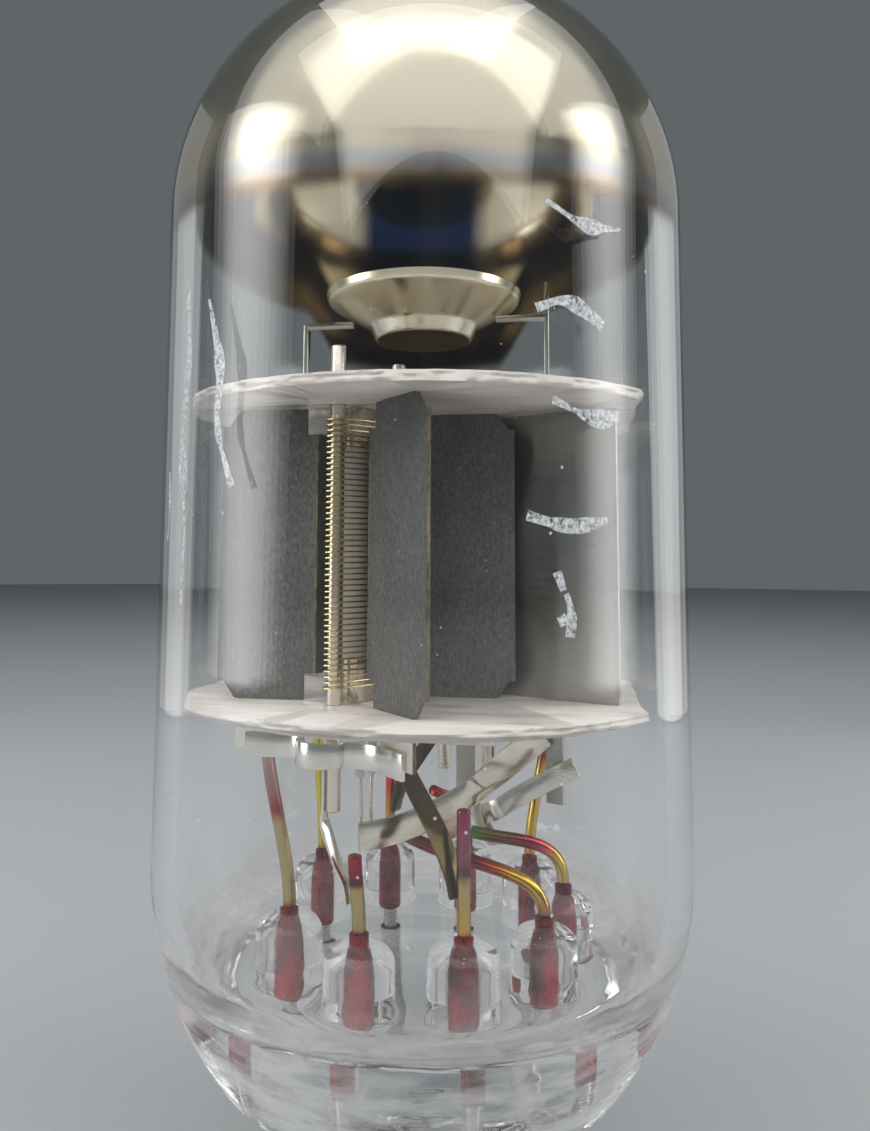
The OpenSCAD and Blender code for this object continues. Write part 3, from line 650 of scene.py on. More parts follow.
@dataclass(frozen=True)
class WireTint:
    """Plated wire whose colour changes along its length, as heat left it."""

    name: str
    stops: Tint
    rough: float = 0.14

    def material(self) -> bpy.types.Material:
        """Builds the material."""
        shader = Shader(self.name)
        fine = shader.grain((6.0, 6.0, 2.0), 3.0)
        along = shader.carried("along") + (shader.grain(1.2) - 0.5) * 0.1
        colour = shader.ramp(along, self.stops)
        return shader.plain(
            Base_Color=shader.mix(fine.step(0.5, 0.8) * 0.1, colour, grey(0.6)),
            Metallic=1.0,
            Roughness=fine.step(0.3, 0.7, self.rough * 0.8, self.rough * 1.4),
            Normal=shader.bump(fine, 0.008),
        )


@dataclass(frozen=True)
class PaleFloor:
    """Plain pale studio paper."""

    name: str = "studio_paper"
    colour: Colour = (0.38, 0.39, 0.4)

    def material(self) -> bpy.types.Material:
        """Builds the material."""
        shader = Shader(self.name)
        tooth = shader.grain(3.0, 4.0)
        return shader.plain(Base_Color=self.colour, Roughness=tooth.step(0.3, 0.7, 0.7, 0.85))


# Modelling helpers


def finish_piece(
    name: str, work: bmesh.types.BMesh, material: bpy.types.Material, slot: str | None, *nodes: str
) -> bpy.types.Object:
    """Turns a finished mesh into a piece that rides on the tube.

    Args:
        name: the piece's name.
        work: its mesh, in metres and in place.
        material: its finish.
        slot: not used.
        nodes: CAD nodes that it stands for.

    Returns:
        The new object.
    """
    mesh = bpy.data.meshes.new(name)
    work.to_mesh(mesh)
    work.free()
    mesh.materials.append(material)
    mesh.shade_smooth()
    mesh.set_sharp_from_angle(angle=math.radians(SHARP_ANGLE))
    piece = bpy.data.objects.new(name, mesh)
    bpy.context.scene.collection.objects.link(piece)
    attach(piece, BODY)
    if nodes:
        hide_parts(*nodes)
    LOG.info("%s: %d faces", name, len(mesh.polygons))
    return piece


def outline(work: bmesh.types.BMesh, points: Sequence[Point]) -> list[bmesh.types.BMEdge]:
    """Draws an open outline in the XZ plane.

    Args:
        work: the mesh to draw in.
        points: radius and height of each point, in millimetres.

    Returns:
        The outline's edges.
    """
    verts = [work.verts.new((r * MM, 0.0, z * MM)) for r, z in points]
    return [work.edges.new(pair) for pair in zip(verts, verts[1:])]


def revolve(
    work: bmesh.types.BMesh, points: Sequence[Point], steps: int, centre: Point = (0.0, 0.0)
) -> list[bmesh.types.BMVert]:
    """Spins an outline once round an upright axis.

    Args:
        work: the mesh to add to.
        points: radius and height of each point, in millimetres.
        steps: facets of the full turn.
        centre: place of the axis, in millimetres.

    Returns:
        The new vertices.
    """
    before = set(work.verts)
    edges = outline(work, points)
    ends = {vert for edge in edges for vert in edge.verts}
    bmesh.ops.spin(
        work,
        geom=[*ends, *edges],
        cent=(0, 0, 0),
        axis=(0, 0, 1),
        dvec=(0, 0, 0),
        angle=2 * math.pi,
        steps=steps,
        use_merge=True,
    )
    added = [vert for vert in work.verts if vert not in before]
    on_axis = [vert for vert in added if math.hypot(vert.co.x, vert.co.y) < MERGE]
    bmesh.ops.remove_doubles(work, verts=on_axis, dist=MERGE)
    added = [vert for vert in work.verts if vert not in before]
    bmesh.ops.translate(work, verts=added, vec=(centre[0] * MM, centre[1] * MM, 0))
    return added


def arc(centre: Point, radius: float, start: float, end: float, steps: int) -> list[Point]:
    """Gives points on an arc.

    Args:
        centre: its centre.
        radius: its radius.
        start: first angle, in degrees from the radial direction upwards.
        end: last angle.
        steps: number of steps between them.

    Returns:
        The points, both ends included.
    """
    angles = [math.radians(start + (end - start) * i / steps) for i in range(steps + 1)]
    return [(centre[0] + radius * math.cos(a), centre[1] + radius * math.sin(a)) for a in angles]


def outward(work: bmesh.types.BMesh) -> None:
    """Merges doubles and turns all faces outwards."""
    bmesh.ops.remove_doubles(work, verts=work.verts, dist=MERGE)
    bmesh.ops.recalc_face_normals(work, faces=work.faces)


def from_node(node: str) -> bmesh.types.BMesh:
    """Copies a CAD node's mesh, with its doubles merged and its flat faces whole."""
    work = bmesh.new()
    work.from_mesh(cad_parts[node].data)
    bmesh.ops.remove_doubles(work, verts=work.verts, dist=MERGE)
    bmesh.ops.dissolve_limit(work, angle_limit=math.radians(FLAT_ANGLE), verts=work.verts, edges=work.edges)
    return work


def soften(work: bmesh.types.BMesh, width: float, angle: float = 50.0) -> list[bmesh.types.BMFace]:
    """Rounds the sharp edges.

    Args:
        work: the mesh.
        width: width of the rounding, in millimetres.
        angle: an edge that turns by more than this, in degrees, is rounded.

    Returns:
        The faces of the rounding.
    """
    limit = math.radians(angle)
    sharp = [e for e in work.edges if len(e.link_faces) == 2 and e.calc_face_angle() > limit]
    made = bmesh.ops.bevel(
        work,
        geom=sharp,
        offset=width * MM,
        affect="EDGES",
        segments=2,
        profile=0.5,
        material=-1,
        clamp_overlap=True,
    )
    return made["faces"]


@dataclass(frozen=True)
class Station:
    """A point of a route in millimetres, and the direction of the ribbon's width there."""

    place: Vector
    across: Vector

    def toward(self, other: "Station", share: float) -> "Station":
        """Goes a share of the way to another station."""
        return Station(self.place.lerp(other.place, share), self.across.lerp(other.across, share))

    def gap(self, other: "Station") -> float:
        """Gives the distance to another station."""
        return (other.place - self.place).length


def eased(stations: Sequence[Station], fillet: float, steps: int = 5) -> list[Station]:
    """Rounds the corners of a route and fills its long runs.

    Args:
        stations: the route's corners.
        fillet: distance from a corner at which its rounding starts, in millimetres.
        steps: steps of each rounding.

    Returns:
        The smooth route.
    """
    smooth = [stations[0]]
    for before, here, after in zip(stations, stations[1:], stations[2:]):
        start = here.toward(before, min(fillet / here.gap(before), 0.48))
        end = here.toward(after, min(fillet / here.gap(after), 0.48))
        shares = [k / steps for k in range(steps + 1)]
        smooth += [start.toward(here, t).toward(here.toward(end, t), t) for t in shares]
    smooth.append(stations[-1])
    filled = [smooth[0]]
    for here, after in zip(smooth, smooth[1:]):
        cuts = max(1, math.ceil(here.gap(after) / (2 * fillet)))
        filled += [here.toward(after, k / cuts) for k in range(1, cuts + 1)]
    return filled


def frames_along(stations: Sequence[Station], closed: bool = False) -> list[Matrix]:
    """Gives a frame at each station: its width, then square to it, then along the route.

    Args:
        stations: the route.
        closed: the last station continues into the second, one turn on.

    Returns:
        The frames, in metres.
    """
    places = [s.place for s in stations]
    before = [places[0], *places[:-1]]
    after = [*places[1:], places[-1]]
    if closed:
        rise = places[-1] - places[0]
        before[0] = places[-2] - rise
        after[-1] = places[1] + rise
    frames = []
    for station, start, end in zip(stations, before, after):
        along = (end - start).normalized()
        side = (station.across - station.across.dot(along) * along).normalized()
        turn = Matrix((side, along.cross(side), along)).transposed().to_4x4()
        frames.append(Matrix.Translation(station.place * MM) @ turn)
    return frames


def sweep(work: bmesh.types.BMesh, frames: Sequence[Matrix], size: Point, sides: int) -> None:
    """Draws a section out along frames, and notes on each point how far along it lies.

    Args:
        work: the mesh to add to.
        frames: places of the section, in metres.
        size: width and thickness of the section, in millimetres.
        sides: number of its sides; 4 gives a rectangle and more give an oval.
    """
    along = work.verts.layers.float.get("along") or work.verts.layers.float.new("along")
    scale = Matrix.Diagonal((size[0] * MM, size[1] * MM, 1.0, 1.0))
    start = frames[0] @ scale @ Matrix.Rotation(math.pi / sides, 4, "Z")
    radius = 0.5 / math.cos(math.pi / sides) if sides == 4 else 0.5
    fresh = bmesh.ops.create_circle(work, segments=sides, radius=radius, matrix=start)["verts"]
    first = {edge for vert in fresh for edge in vert.link_edges}
    ring = first
    for i, (here, there) in enumerate(zip(frames, frames[1:]), 1):
        made = bmesh.ops.extrude_edge_only(work, edges=list(ring))["geom"]
        fresh = [item for item in made if isinstance(item, bmesh.types.BMVert)]
        bmesh.ops.transform(work, matrix=there @ here.inverted(), verts=fresh)
        new = set(fresh)
        ring = {e for v in fresh for e in v.link_edges if new.issuperset(e.verts)}
        for vert in fresh:
            vert[along] = i / (len(frames) - 1)
    bmesh.ops.holes_fill(work, edges=[*first, *ring], sides=0)


def ribbon(work: bmesh.types.BMesh, stations: Sequence[Station], width: float, thick: float) -> None:
    """Adds a sheet-metal ribbon whose corners are rounded."""
    fresh = bmesh.new()
    sweep(fresh, frames_along(eased(stations, 3 * thick)), (width, thick), 4)
    outward(fresh)
    soften(fresh, thick * 0.25, 60.0)
    join(work, fresh)


def join(work: bmesh.types.BMesh, other: bmesh.types.BMesh) -> None:
    """Adds another mesh and frees it."""
    scratch = bpy.data.meshes.new("scratch")
    other.to_mesh(scratch)
    other.free()
    work.from_mesh(scratch)
    bpy.data.meshes.remove(scratch)


def bezier(points: Sequence[Vector], share: float) -> Vector:
    """Gives a point of a cubic curve."""
    left = 1 - share
    weights = (left**3, 3 * share * left**2, 3 * share**2 * left, share**3)
    return sum((w * p for w, p in zip(weights, points)), Vector((0, 0, 0)))


# Sub-assemblies


@dataclass(frozen=True)
class Plan:
    """Sizes and places that several sub-assemblies share, in millimetres."""

    under_z: float = box_mm("under_mica")[0].z
    mica_z: float = box_mm("lower_mica")[1].z
    roof_z: float = box_mm("top_mica")[0].z
    wire_z: float = box_mm("seal_wire_1")[1].z
    bead_z: float = 13.5
    seat: float = 0.01
    pin_circle_r: float = 5.945
    pin_start: float = -115.0
    pin_step: float = 36.0
    triode_off: float = 3.96
    rod_off: float = 2.03
    rod_d: float = 0.57
    face_u: float = 1.29
    face_half_w: float = 1.63
    wing_angle: float = 24.4
    tab_from_face: float = 0.85
    tab_w: float = 2.2
    tab_down: float = 1.3
    anode_t: float = 0.15
    screen_t: float = 0.2
    strap_t: float = 0.15
    lead_d: float = 0.5
    side_tab_x: float = 6.1
    side_tab_w: float = 0.7
    sleeve_t: float = 1.0
    sleeve_w: float = 2.7
    sleeve_out: float = 0.7
    heater_gap: float = 0.8
    heater_end_z: float = 16.47

    def pin(self, index: int, height: float = 0.0) -> Vector:
        """Gives a point on the axis of a pin."""
        angle = math.radians(self.pin_start + self.pin_step * (index - 1))
        return Vector((self.pin_circle_r * math.cos(angle), self.pin_circle_r * math.sin(angle), height))

    def beside_lead(self, thick: float) -> float:
        """Gives the distance between the middles of a lead and of a sheet that lies on it."""
        return (thick + self.lead_d) / 2 + self.seat

    def wing(self, side: int, along: float, out: float, height: float) -> Vector:
        """Gives a point beside an outer wing of the front triode.

        Args:
            side: 1 on the right and -1 on the left.
            along: distance from the active face.
            out: distance towards the glass.
            height: the point's height.

        Returns:
            The point.
        """
        turn = math.radians(self.wing_angle)
        x = self.face_u + along * math.cos(turn) - out * math.sin(turn)
        y = self.triode_off + self.face_half_w + along * math.sin(turn) + out * math.cos(turn)
        return Vector((side * x, -y, height))


def half_turned(place: Vector) -> Vector:
    """Gives the point that lies half a turn round the tube's axis."""
    return Vector((-place.x, -place.y, place.z))


def set_at(end: str, work: bmesh.types.BMesh) -> None:
    """Leaves the front triode's mesh in place, and turns the back one's half round the axis."""
    if end == "back":
        half = Matrix.Rotation(math.pi, 3, "Z")
        bmesh.ops.rotate(work, cent=(0, 0, 0), matrix=half, verts=work.verts)


@dataclass
class Envelope:
    """The bulb and stem, sealed into one glass, and the film in the dome."""

    bulb_r: float = field(default_factory=lambda: box_mm("glass_bulb")[1].x)
    base_z: float = field(default_factory=lambda: box_mm("glass_bulb")[0].z)
    top_z: float = field(default_factory=lambda: box_mm("glass_bulb")[1].z)
    film_z: float = field(default_factory=lambda: box_mm("getter_film")[0].z)
    plan: Plan = Plan()
    wall: float = 1.0
    dome_r: float = 10.6
    shoulder_z: float = 41.3
    waist_r: float = 13.0
    waist_z: float = 15.2
    foot_r: float = 1.0
    floor_z: float = 10.9
    bowl_round: float = 2.3
    tip_root_r: float = 2.3
    tip_end_r: float = 0.9
    bead_r: float = 1.3
    bead_h: float = 2.6
    bead_round: float = 0.8
    bead_foot: float = 0.14
    film_t: float = 0.06
    film_in_glass: float = 0.02
    film_lobe: float = 2.6
    steps: int = 192
    bead_steps: int = 40

    def wall_points(self, inset: float, low_z: float) -> list[Point]:
        """Gives the bulb's outline from low_z up to the dome's top, drawn in by inset.

        Args:
            inset: distance inside the outer surface.
            low_z: height at which the outline starts.

        Returns:
            Radius and height of each point, from the bottom.
        """
        points = [(self.bulb_r - inset, low_z)]
        if low_z < self.waist_z:
            waist = self.waist_r - inset
            low = math.degrees(math.asin((low_z - self.waist_z) / waist))
            points = arc((self.bulb_r - self.waist_r, self.waist_z), waist, low, 0.0, steps=24)
        dome = arc((self.bulb_r - self.dome_r, self.shoulder_z), self.dome_r - inset, 0.0, 90.0, steps=40)
        return points + dome

    def outer_points(self) -> list[Point]:
        """Gives the outer outline, from the middle of the base to the sealed-off tip."""
        reach = self.waist_r - self.foot_r
        drop = self.waist_z - self.base_z - self.foot_r
        foot_x = self.bulb_r - self.waist_r + math.sqrt(reach**2 - drop**2)
        meet = -math.degrees(math.asin(drop / reach))
        foot = arc((foot_x, self.base_z + self.foot_r), self.foot_r, -90.0, meet, steps=10)
        body = self.wall_points(0.0, foot[-1][1])[1:]
        dome_top = self.shoulder_z + self.dome_r
        neck_r = self.tip_root_r * 1.25
        shell = [p for p in body if p[1] < self.shoulder_z or p[0] > neck_r]
        end_z = self.top_z - self.tip_end_r
        neck = [
            (self.tip_root_r * 0.92, dome_top + 0.05),
            (self.tip_root_r * 0.72, dome_top + 0.7),
            (self.tip_end_r * 1.12, dome_top + 1.6),
        ]
        tip = arc((0.0, end_z), self.tip_end_r, 0.0, 90.0, steps=10)
        return [(0.0, self.base_z), (foot_x * 0.6, self.base_z), *foot, *shell, *neck, *tip]

    def cavity(self, work: bmesh.types.BMesh) -> None:
        """Adds the inner surface: dome, wall, the bowl that the stem forms, and the beads."""
        reach = self.waist_r - self.wall - self.bowl_round
        drop = self.waist_z - self.floor_z - self.bowl_round
        bowl_r = self.bulb_r - self.waist_r + math.sqrt(reach**2 - drop**2)
        meet = -math.degrees(math.asin(drop / reach))
        curve = arc((bowl_r, self.floor_z + self.bowl_round), self.bowl_round, -90.0, meet, steps=16)
        inner = self.wall_points(self.wall, curve[-1][1])[1:]
        inner[-1] = (0.0, inner[-1][1])
        revolve(work, [*curve, *inner], self.steps)
        ring = [e for e in work.edges if e.is_boundary and e.verts[0].co.z < (self.floor_z + 0.01) * MM]
        beads = []
        for i in range(PINS):
            beads += revolve(work, self.bead_points(i), self.bead_steps, self.plan.pin(i + 1).xy)
        feet = {e for v in beads for e in v.link_edges if e.is_boundary}
        bmesh.ops.triangle_fill(work, use_beauty=True, edges=[*ring, *feet])

    def bead_points(self, index: int) -> list[Point]:
        """Gives a bead's outline, from its foot up to its top."""
        draw = random.Random(index)
        height = self.bead_h * draw.uniform(0.94, 1.03)
        radius = self.bead_r * draw.uniform(0.93, 1.0)
        toe = (radius + self.bead_foot, self.floor_z + self.bead_foot)
        foot = arc(toe, self.bead_foot, 270.0, 180.0, steps=5)
        shoulder = (radius - self.bead_round, self.floor_z + height - self.bead_round)
        top = arc(shoulder, self.bead_round, 8.0, 90.0, steps=12)
        return [*foot, *top, (0.0, self.floor_z + height)]

    def build(self) -> None:
        """Builds the glass and the film."""
        work = bmesh.new()
        revolve(work, self.outer_points(), self.steps)
        outward(work)
        inside = bmesh.new()
        self.cavity(inside)
        outward(inside)
        bmesh.ops.reverse_faces(inside, faces=inside.faces)
        join(work, inside)
        glass = ClearGlass().material()
        finish_piece("tube_glass", work, glass, "bulb_glass", "glass_bulb", "glass_stem")
        self.build_film()

    def build_film(self) -> None:
        """Builds the film on the dome's inner surface."""
        work = bmesh.new()
        low_z = self.film_z - self.film_lobe
        outside = self.wall_points(self.wall - self.film_in_glass, low_z)
        inside = self.wall_points(self.wall - self.film_in_glass + self.film_t, low_z)
        revolve(work, [*outside, *reversed(inside)], self.steps)
        outward(work)
        dome = Vector((0, 0, self.shoulder_z)) * MM
        for face in work.faces:
            middle = face.calc_center_median()
            axis = dome if middle.z > dome.z else Vector((0, 0, middle.z))
            face.material_index = int(face.normal.dot(middle - axis) < 0)
        outer = GetterMirror("mirror_outside", self.film_z, OUTER_FILM).material()
        # The film's inside carries the painted gold glint and the painted dark reflection.
        inner = GetterMirror("mirror_inside", self.film_z, INNER_FILM_AND_PAINTED_REFLECTION, painted_glint_share=0.9).material()
        piece = finish_piece("mirror_film", work, outer, "getter_mirror", "getter_film")
        piece.data.materials.append(inner)


@dataclass
class Getter:
    """The stepped dish and its two legs."""

    dish_r: float = field(default_factory=lambda: box_mm("getter_dish")[1].x)
    low_z: float = field(default_factory=lambda: box_mm("getter_dish")[0].z)
    boss_r: float = 2.1
    step_out: float = 0.3
    step_h: float = 0.62
    flange_h: float = 1.0
    lip_h: float = 0.35
    lip_in: float = 0.1
    sheet_t: float = 0.15
    bend: float = 0.12
    leg_round: float = 0.04
    steps: int = 144

    def profile(self, inset: float) -> list[Vector]:
        """Gives the corners of the sheet's outline, moved by inset into the sheet."""
        slope_z = self.low_z + self.step_h + self.flange_h
        return [
            Vector((0.0, 0.0, self.low_z + inset)),
            Vector((self.boss_r - inset, 0.0, self.low_z + inset)),
            Vector((self.boss_r + self.step_out - inset, 0.0, self.low_z + self.step_h + inset)),
            Vector((self.dish_r - self.lip_in - inset, 0.0, slope_z + inset * 0.6)),
            Vector((self.dish_r - inset * 0.9, 0.0, slope_z + self.lip_h)),
        ]

    def build(self) -> None:
        """Builds the dish and rounds the legs' edges."""
        work = bmesh.new()
        points = []
        for inset in (0.0, self.sheet_t):
            route = [Station(corner, Vector((0, 1, 0))) for corner in self.profile(inset)]
            curve = [(s.place.x, s.place.z) for s in eased(route, self.bend, steps=6)]
            points += reversed(curve) if inset else curve
        revolve(work, points, self.steps)
        outward(work)
        spun = SpunDish(self.boss_r, self.boss_r + self.step_out)
        finish_piece("dish_sheet", work, spun.material(), "dish_metal", "getter_dish")
        legs = Finish.NICKEL.material()
        for side in ("left", "right"):
            leg = from_node(f"getter_leg_{side}")
            soften(leg, self.leg_round)
            finish_piece(f"dish_leg_{side}", leg, legs, "nickel", f"getter_leg_{side}")


@dataclass
class Cage:
    """Micas, screen, anodes, grids, cathodes and heaters."""

    plan: Plan = Plan()
    rim_from: float = 8.6
    rag: float = 0.1
    split: float = 0.012
    sheet_round: float = 0.03
    sleeve_round: float = 0.02
    rod_round: float = 0.06
    wire_d: float = 0.08
    pitch: float = 0.208
    seam: float = 0.002
    margin: float = 0.45
    bulge: float = 0.42
    wrap: float = 60.0
    turn_steps: int = 4
    wire_sides: int = 6
    heater_d: float = 0.34
    bare_d: float = 0.14
    heater_low_z: float = 18.67
    heater_under_roof: float = 1.0
    heater_lean: float = 0.12
    heater_knee: float = 1.1
    heater_sides: int = 16
    heater_white: Colour = (0.82, 0.81, 0.78)
    seed_step: int = 11
    bare_sleeve: float = 1.6

    def mica(self, node: str, seed: int, layers: int, material: bpy.types.Material) -> None:
        """Builds a mica whose rim is split into ragged layers.

        Args:
            node: the CAD node that it stands for.
            seed: number that sets this rim's shape.
            layers: number of layers that show at the rim.
            material: its finish.
        """
        work = from_node(node)
        low, high = box_mm(node)
        rim = [e for e in work.edges if all(math.hypot(v.co.x, v.co.y) > self.rim_from * MM for v in e.verts)]
        level = [e for e in rim if abs(e.verts[0].co.z - e.verts[1].co.z) < LEVEL]
        bmesh.ops.subdivide_edges(work, edges=level, cuts=4)
        for k in range(1, layers):
            for shift in (-self.split, self.split):
                cut = Vector((0, 0, low.z + (high.z - low.z) * k / layers + shift)) * MM
                everything = [*work.verts, *work.edges, *work.faces]
                bmesh.ops.bisect_plane(work, geom=everything, dist=LEVEL, plane_co=cut, plane_no=(0, 0, 1))
        for vert in work.verts:
            radius = math.hypot(vert.co.x, vert.co.y)
            if radius > self.rim_from * MM:
                layer = math.floor((vert.co.z / MM - low.z) / (high.z - low.z) * layers * 0.999)
                vert.co.xy *= 1 - self.broken(vert.co / MM, layer, seed) * MM / radius
        bmesh.ops.triangulate(work, faces=[f for f in work.faces if len(f.verts) > 4])
        finish_piece(f"{node}_sheet", work, material, "mica", node)

    def broken(self, place: Vector, layer: int, seed: int) -> float:
        """Gives how far a layer of a mica's rim has broken away at a place, in millimetres."""
        coarse = noise.noise(Vector((place.x * 0.7, place.y * 0.7, layer * 7.3 + seed)))
        fine = noise.noise(Vector((place.x * 3.1, place.y * 3.1, layer * 3.7 + seed)))
        return self.rag * max(0.0, 0.45 + coarse + 0.5 * fine)

    def sheet(self, node: str, slot: str, material: bpy.types.Material, edge: bpy.types.Material) -> None:
        """Rounds the edges of a cut sheet and gives its cut edges a finish of their own."""
        work = from_node(node)
        thick = self.plan.anode_t * 1.5 * MM
        for face in work.faces:
            if min(e.calc_length() for e in face.edges) < thick and len(face.verts) == 4:
                face.material_index = 1
        soften(work, self.sheet_round)
        piece = finish_piece(f"{node}_sheet", work, material, slot, node)
        piece.data.materials.append(edge)

    def turn(self) -> list[Station]:
        """Gives the lowest turn of the front grid's wire, from its start to one pitch up."""
        plan = self.plan
        radius = (plan.rod_d / 2 + plan.seat) / math.cos(math.radians(self.wrap) / 2) + self.wire_d / 2
        wide = radius + self.bulge
        corners = []
        for end in (1, -1):
            for a in (-self.wrap, 0.0, self.wrap):
                t = math.radians(a)
                x, y = -radius * math.sin(t), plan.rod_off + radius * math.cos(t)
                corners.append((end * x, end * y))
            corners += [(-end * wide, end * plan.rod_off / 3), (-end * wide, -end * plan.rod_off / 3)]
        count = len(corners)
        steps = count * self.turn_steps
        middle = (plan.mica_z + plan.roof_z) / 2
        low = middle - self.pitch * self.turns() / 2
        stations = []
        for i in range(steps + 1):
            k, share = divmod(i, self.turn_steps)
            share /= self.turn_steps
            near = [Vector((*corners[(k + j) % count], 0)) for j in (-1, 0, 1, 2)]
            pull = ((near[2] - near[0]) / 6, (near[3] - near[1]) / 6)
            place = bezier([near[1], near[1] + pull[0], near[2] - pull[1], near[2]], share)
            place += Vector((0, -plan.triode_off, low + self.pitch * i / steps))
            stations.append(Station(place, Vector((0, 0, 1))))
        return stations

    def turns(self) -> int:
        """Gives the number of turns of a grid."""
        return math.floor((self.plan.roof_z - self.plan.mica_z - 2 * self.margin) / self.pitch)

    def winding(self, material: bpy.types.Material, end: str) -> None:
        """Builds a grid's wire by repeating one turn up the rods."""
        work = bmesh.new()
        sweep(work, frames_along(self.turn(), closed=True), (self.wire_d, self.wire_d), self.wire_sides)
        caps = [face for face in work.faces if len(face.verts) == self.wire_sides]
        bmesh.ops.delete(work, geom=caps, context="FACES_ONLY")
        whole = [*work.verts, *work.edges, *work.faces]
        for i in range(1, self.turns()):
            made = bmesh.ops.duplicate(work, geom=whole)["geom"]
            copied = [item for item in made if isinstance(item, bmesh.types.BMVert)]
            bmesh.ops.translate(work, verts=copied, vec=(0, 0, self.pitch * i * MM))
        bmesh.ops.remove_doubles(work, verts=work.verts, dist=self.seam * MM)
        bmesh.ops.holes_fill(work, edges=[e for e in work.edges if e.is_boundary], sides=0)
        bmesh.ops.recalc_face_normals(work, faces=work.faces)
        set_at(end, work)
        finish_piece(f"winding_{end}", work, material, "grid_gold", f"grid_wire_{end}")

    def heater(self, material: bpy.types.Material, end: str) -> None:
        """Builds a heater: coated legs, and bare ends that lean towards each other."""
        plan = self.plan
        work = bmesh.new()
        top = plan.roof_z - self.heater_under_roof
        half = plan.heater_gap / 2
        for leg in (-1, 1):
            middle = -plan.triode_off + leg * half
            low_end = -plan.triode_off + leg * (half - self.heater_lean)
            legs = [Vector((0, middle, top)), Vector((0, middle, self.heater_low_z))]
            bare = [
                Vector((0, middle, self.heater_low_z + 0.1)),
                Vector((0.01, low_end, self.heater_low_z - self.heater_knee)),
                Vector((0.0, middle, plan.heater_end_z)),
            ]
            for route, size in ((legs, self.heater_d), (bare, self.bare_d)):
                fresh = bmesh.new()
                stations = [Station(place, Vector((1, 0, 0))) for place in route]
                sweep(fresh, frames_along(eased(stations, 0.5)), (size, size), self.heater_sides)
                outward(fresh)
                soften(fresh, size * 0.2)
                join(work, fresh)
        set_at(end, work)
        finish_piece(f"hairpin_{end}", work, material, "heater_white", f"heater_{end}")

    def build(self) -> None:
        """Builds the cage."""
        mica = MicaSheet().material()
        for index, (node, layers) in enumerate((("top_mica", 4), ("lower_mica", 3), ("under_mica", 3))):
            self.mica(node, index * self.seed_step, layers, mica)
        edge = CutEdge().material()
        anode = CarbonisedSheet().material()
        for end in ENDS:
            for side in ("left", "right"):
                self.sheet(f"anode_{end}_{side}", "anode_grey", anode, edge)
        screen = Finish.SCREEN.material()
        self.sheet("screen", "screen_nickel", screen, Finish.NICKEL.material())
        gold = Finish.GOLD.material()
        plan, bare = self.plan, self.bare_sleeve
        coated = CoatedSleeve("heater_wire", self.heater_low_z, plan.roof_z, self.heater_white).material()
        sleeve = CoatedSleeve("cathode_sleeve", plan.mica_z + bare, plan.roof_z - bare).material()
        rod = Finish.ROD.material()
        for end in ENDS:
            self.winding(gold, end)
            self.heater(coated, end)
            tube = from_node(f"cathode_{end}")
            soften(tube, self.sleeve_round)
            finish_piece(f"sleeve_{end}", tube, sleeve, "cathode_white", f"cathode_{end}")
            for place in ("outer", "inner"):
                post = from_node(f"grid_rod_{end}_{place}")
                soften(post, self.rod_round)
                finish_piece(f"post_{end}_{place}", post, rod, "rod_metal", f"grid_rod_{end}_{place}")


PALE: Colour = (0.5, 0.39, 0.17)
GOLD_TINT: Colour = (0.68, 0.45, 0.08)
CRIMSON: Colour = (0.3, 0.006, 0.025)
SCARLET: Colour = (0.36, 0.006, 0.008)
MAROON: Colour = (0.14, 0.012, 0.012)

LEAD_TINTS: tuple[Tint, ...] = (
    (
        (0.0, SCARLET),
        (0.05, PALE),
        (0.52, PALE),
        (0.62, CRIMSON),
        (0.72, (0.36, 0.17, 0.15)),
        (1.0, (0.46, 0.34, 0.31)),
    ),
    ((0.0, SCARLET), (0.07, PALE), (0.52, PALE), (0.6, (0.08, 0.01, 0.01)), (0.75, CRIMSON), (1.0, SCARLET)),
    (
        (0.0, SCARLET),
        (0.05, GOLD_TINT),
        (0.4, PALE),
        (0.5, (0.12, 0.06, 0.04)),
        (0.64, (0.28, 0.1, 0.14)),
        (1.0, (0.34, 0.02, 0.09)),
    ),
    (
        (0.0, (0.3, 0.08, 0.1)),
        (0.14, GOLD_TINT),
        (0.38, (0.75, 0.42, 0.02)),
        (0.5, (0.6, 0.1, 0.01)),
        (0.62, CRIMSON),
        (1.0, (0.22, 0.08, 0.04)),
    ),
    (
        (0.0, PALE),
        (0.2, (0.66, 0.5, 0.08)),
        (0.38, (0.6, 0.08, 0.08)),
        (0.5, CRIMSON),
        (0.64, MAROON),
        (0.8, (0.2, 0.14, 0.02)),
        (0.92, (0.08, 0.3, 0.05)),
        (1.0, (0.16, 0.12, 0.03)),
    ),
    ((0.0, SCARLET), (0.05, GOLD_TINT), (0.6, GOLD_TINT), (0.72, CRIMSON), (1.0, (0.55, 0.05, 0.06))),
    ((0.0, SCARLET), (0.08, GOLD_TINT), (0.7, PALE), (0.86, (0.5, 0.06, 0.05)), (1.0, SCARLET)),
    (
        (0.0, SCARLET),
        (0.08, GOLD_TINT),
        (0.4, (0.66, 0.2, 0.03)),
        (0.55, (0.75, 0.03, 0.03)),
        (0.86, (0.7, 0.1, 0.06)),
        (1.0, (0.35, 0.3, 0.04)),
    ),
    ((0.0, SCARLET), (0.06, (0.7, 0.55, 0.06)), (0.6, (0.7, 0.6, 0.05)), (1.0, (0.6, 0.48, 0.06))),
)


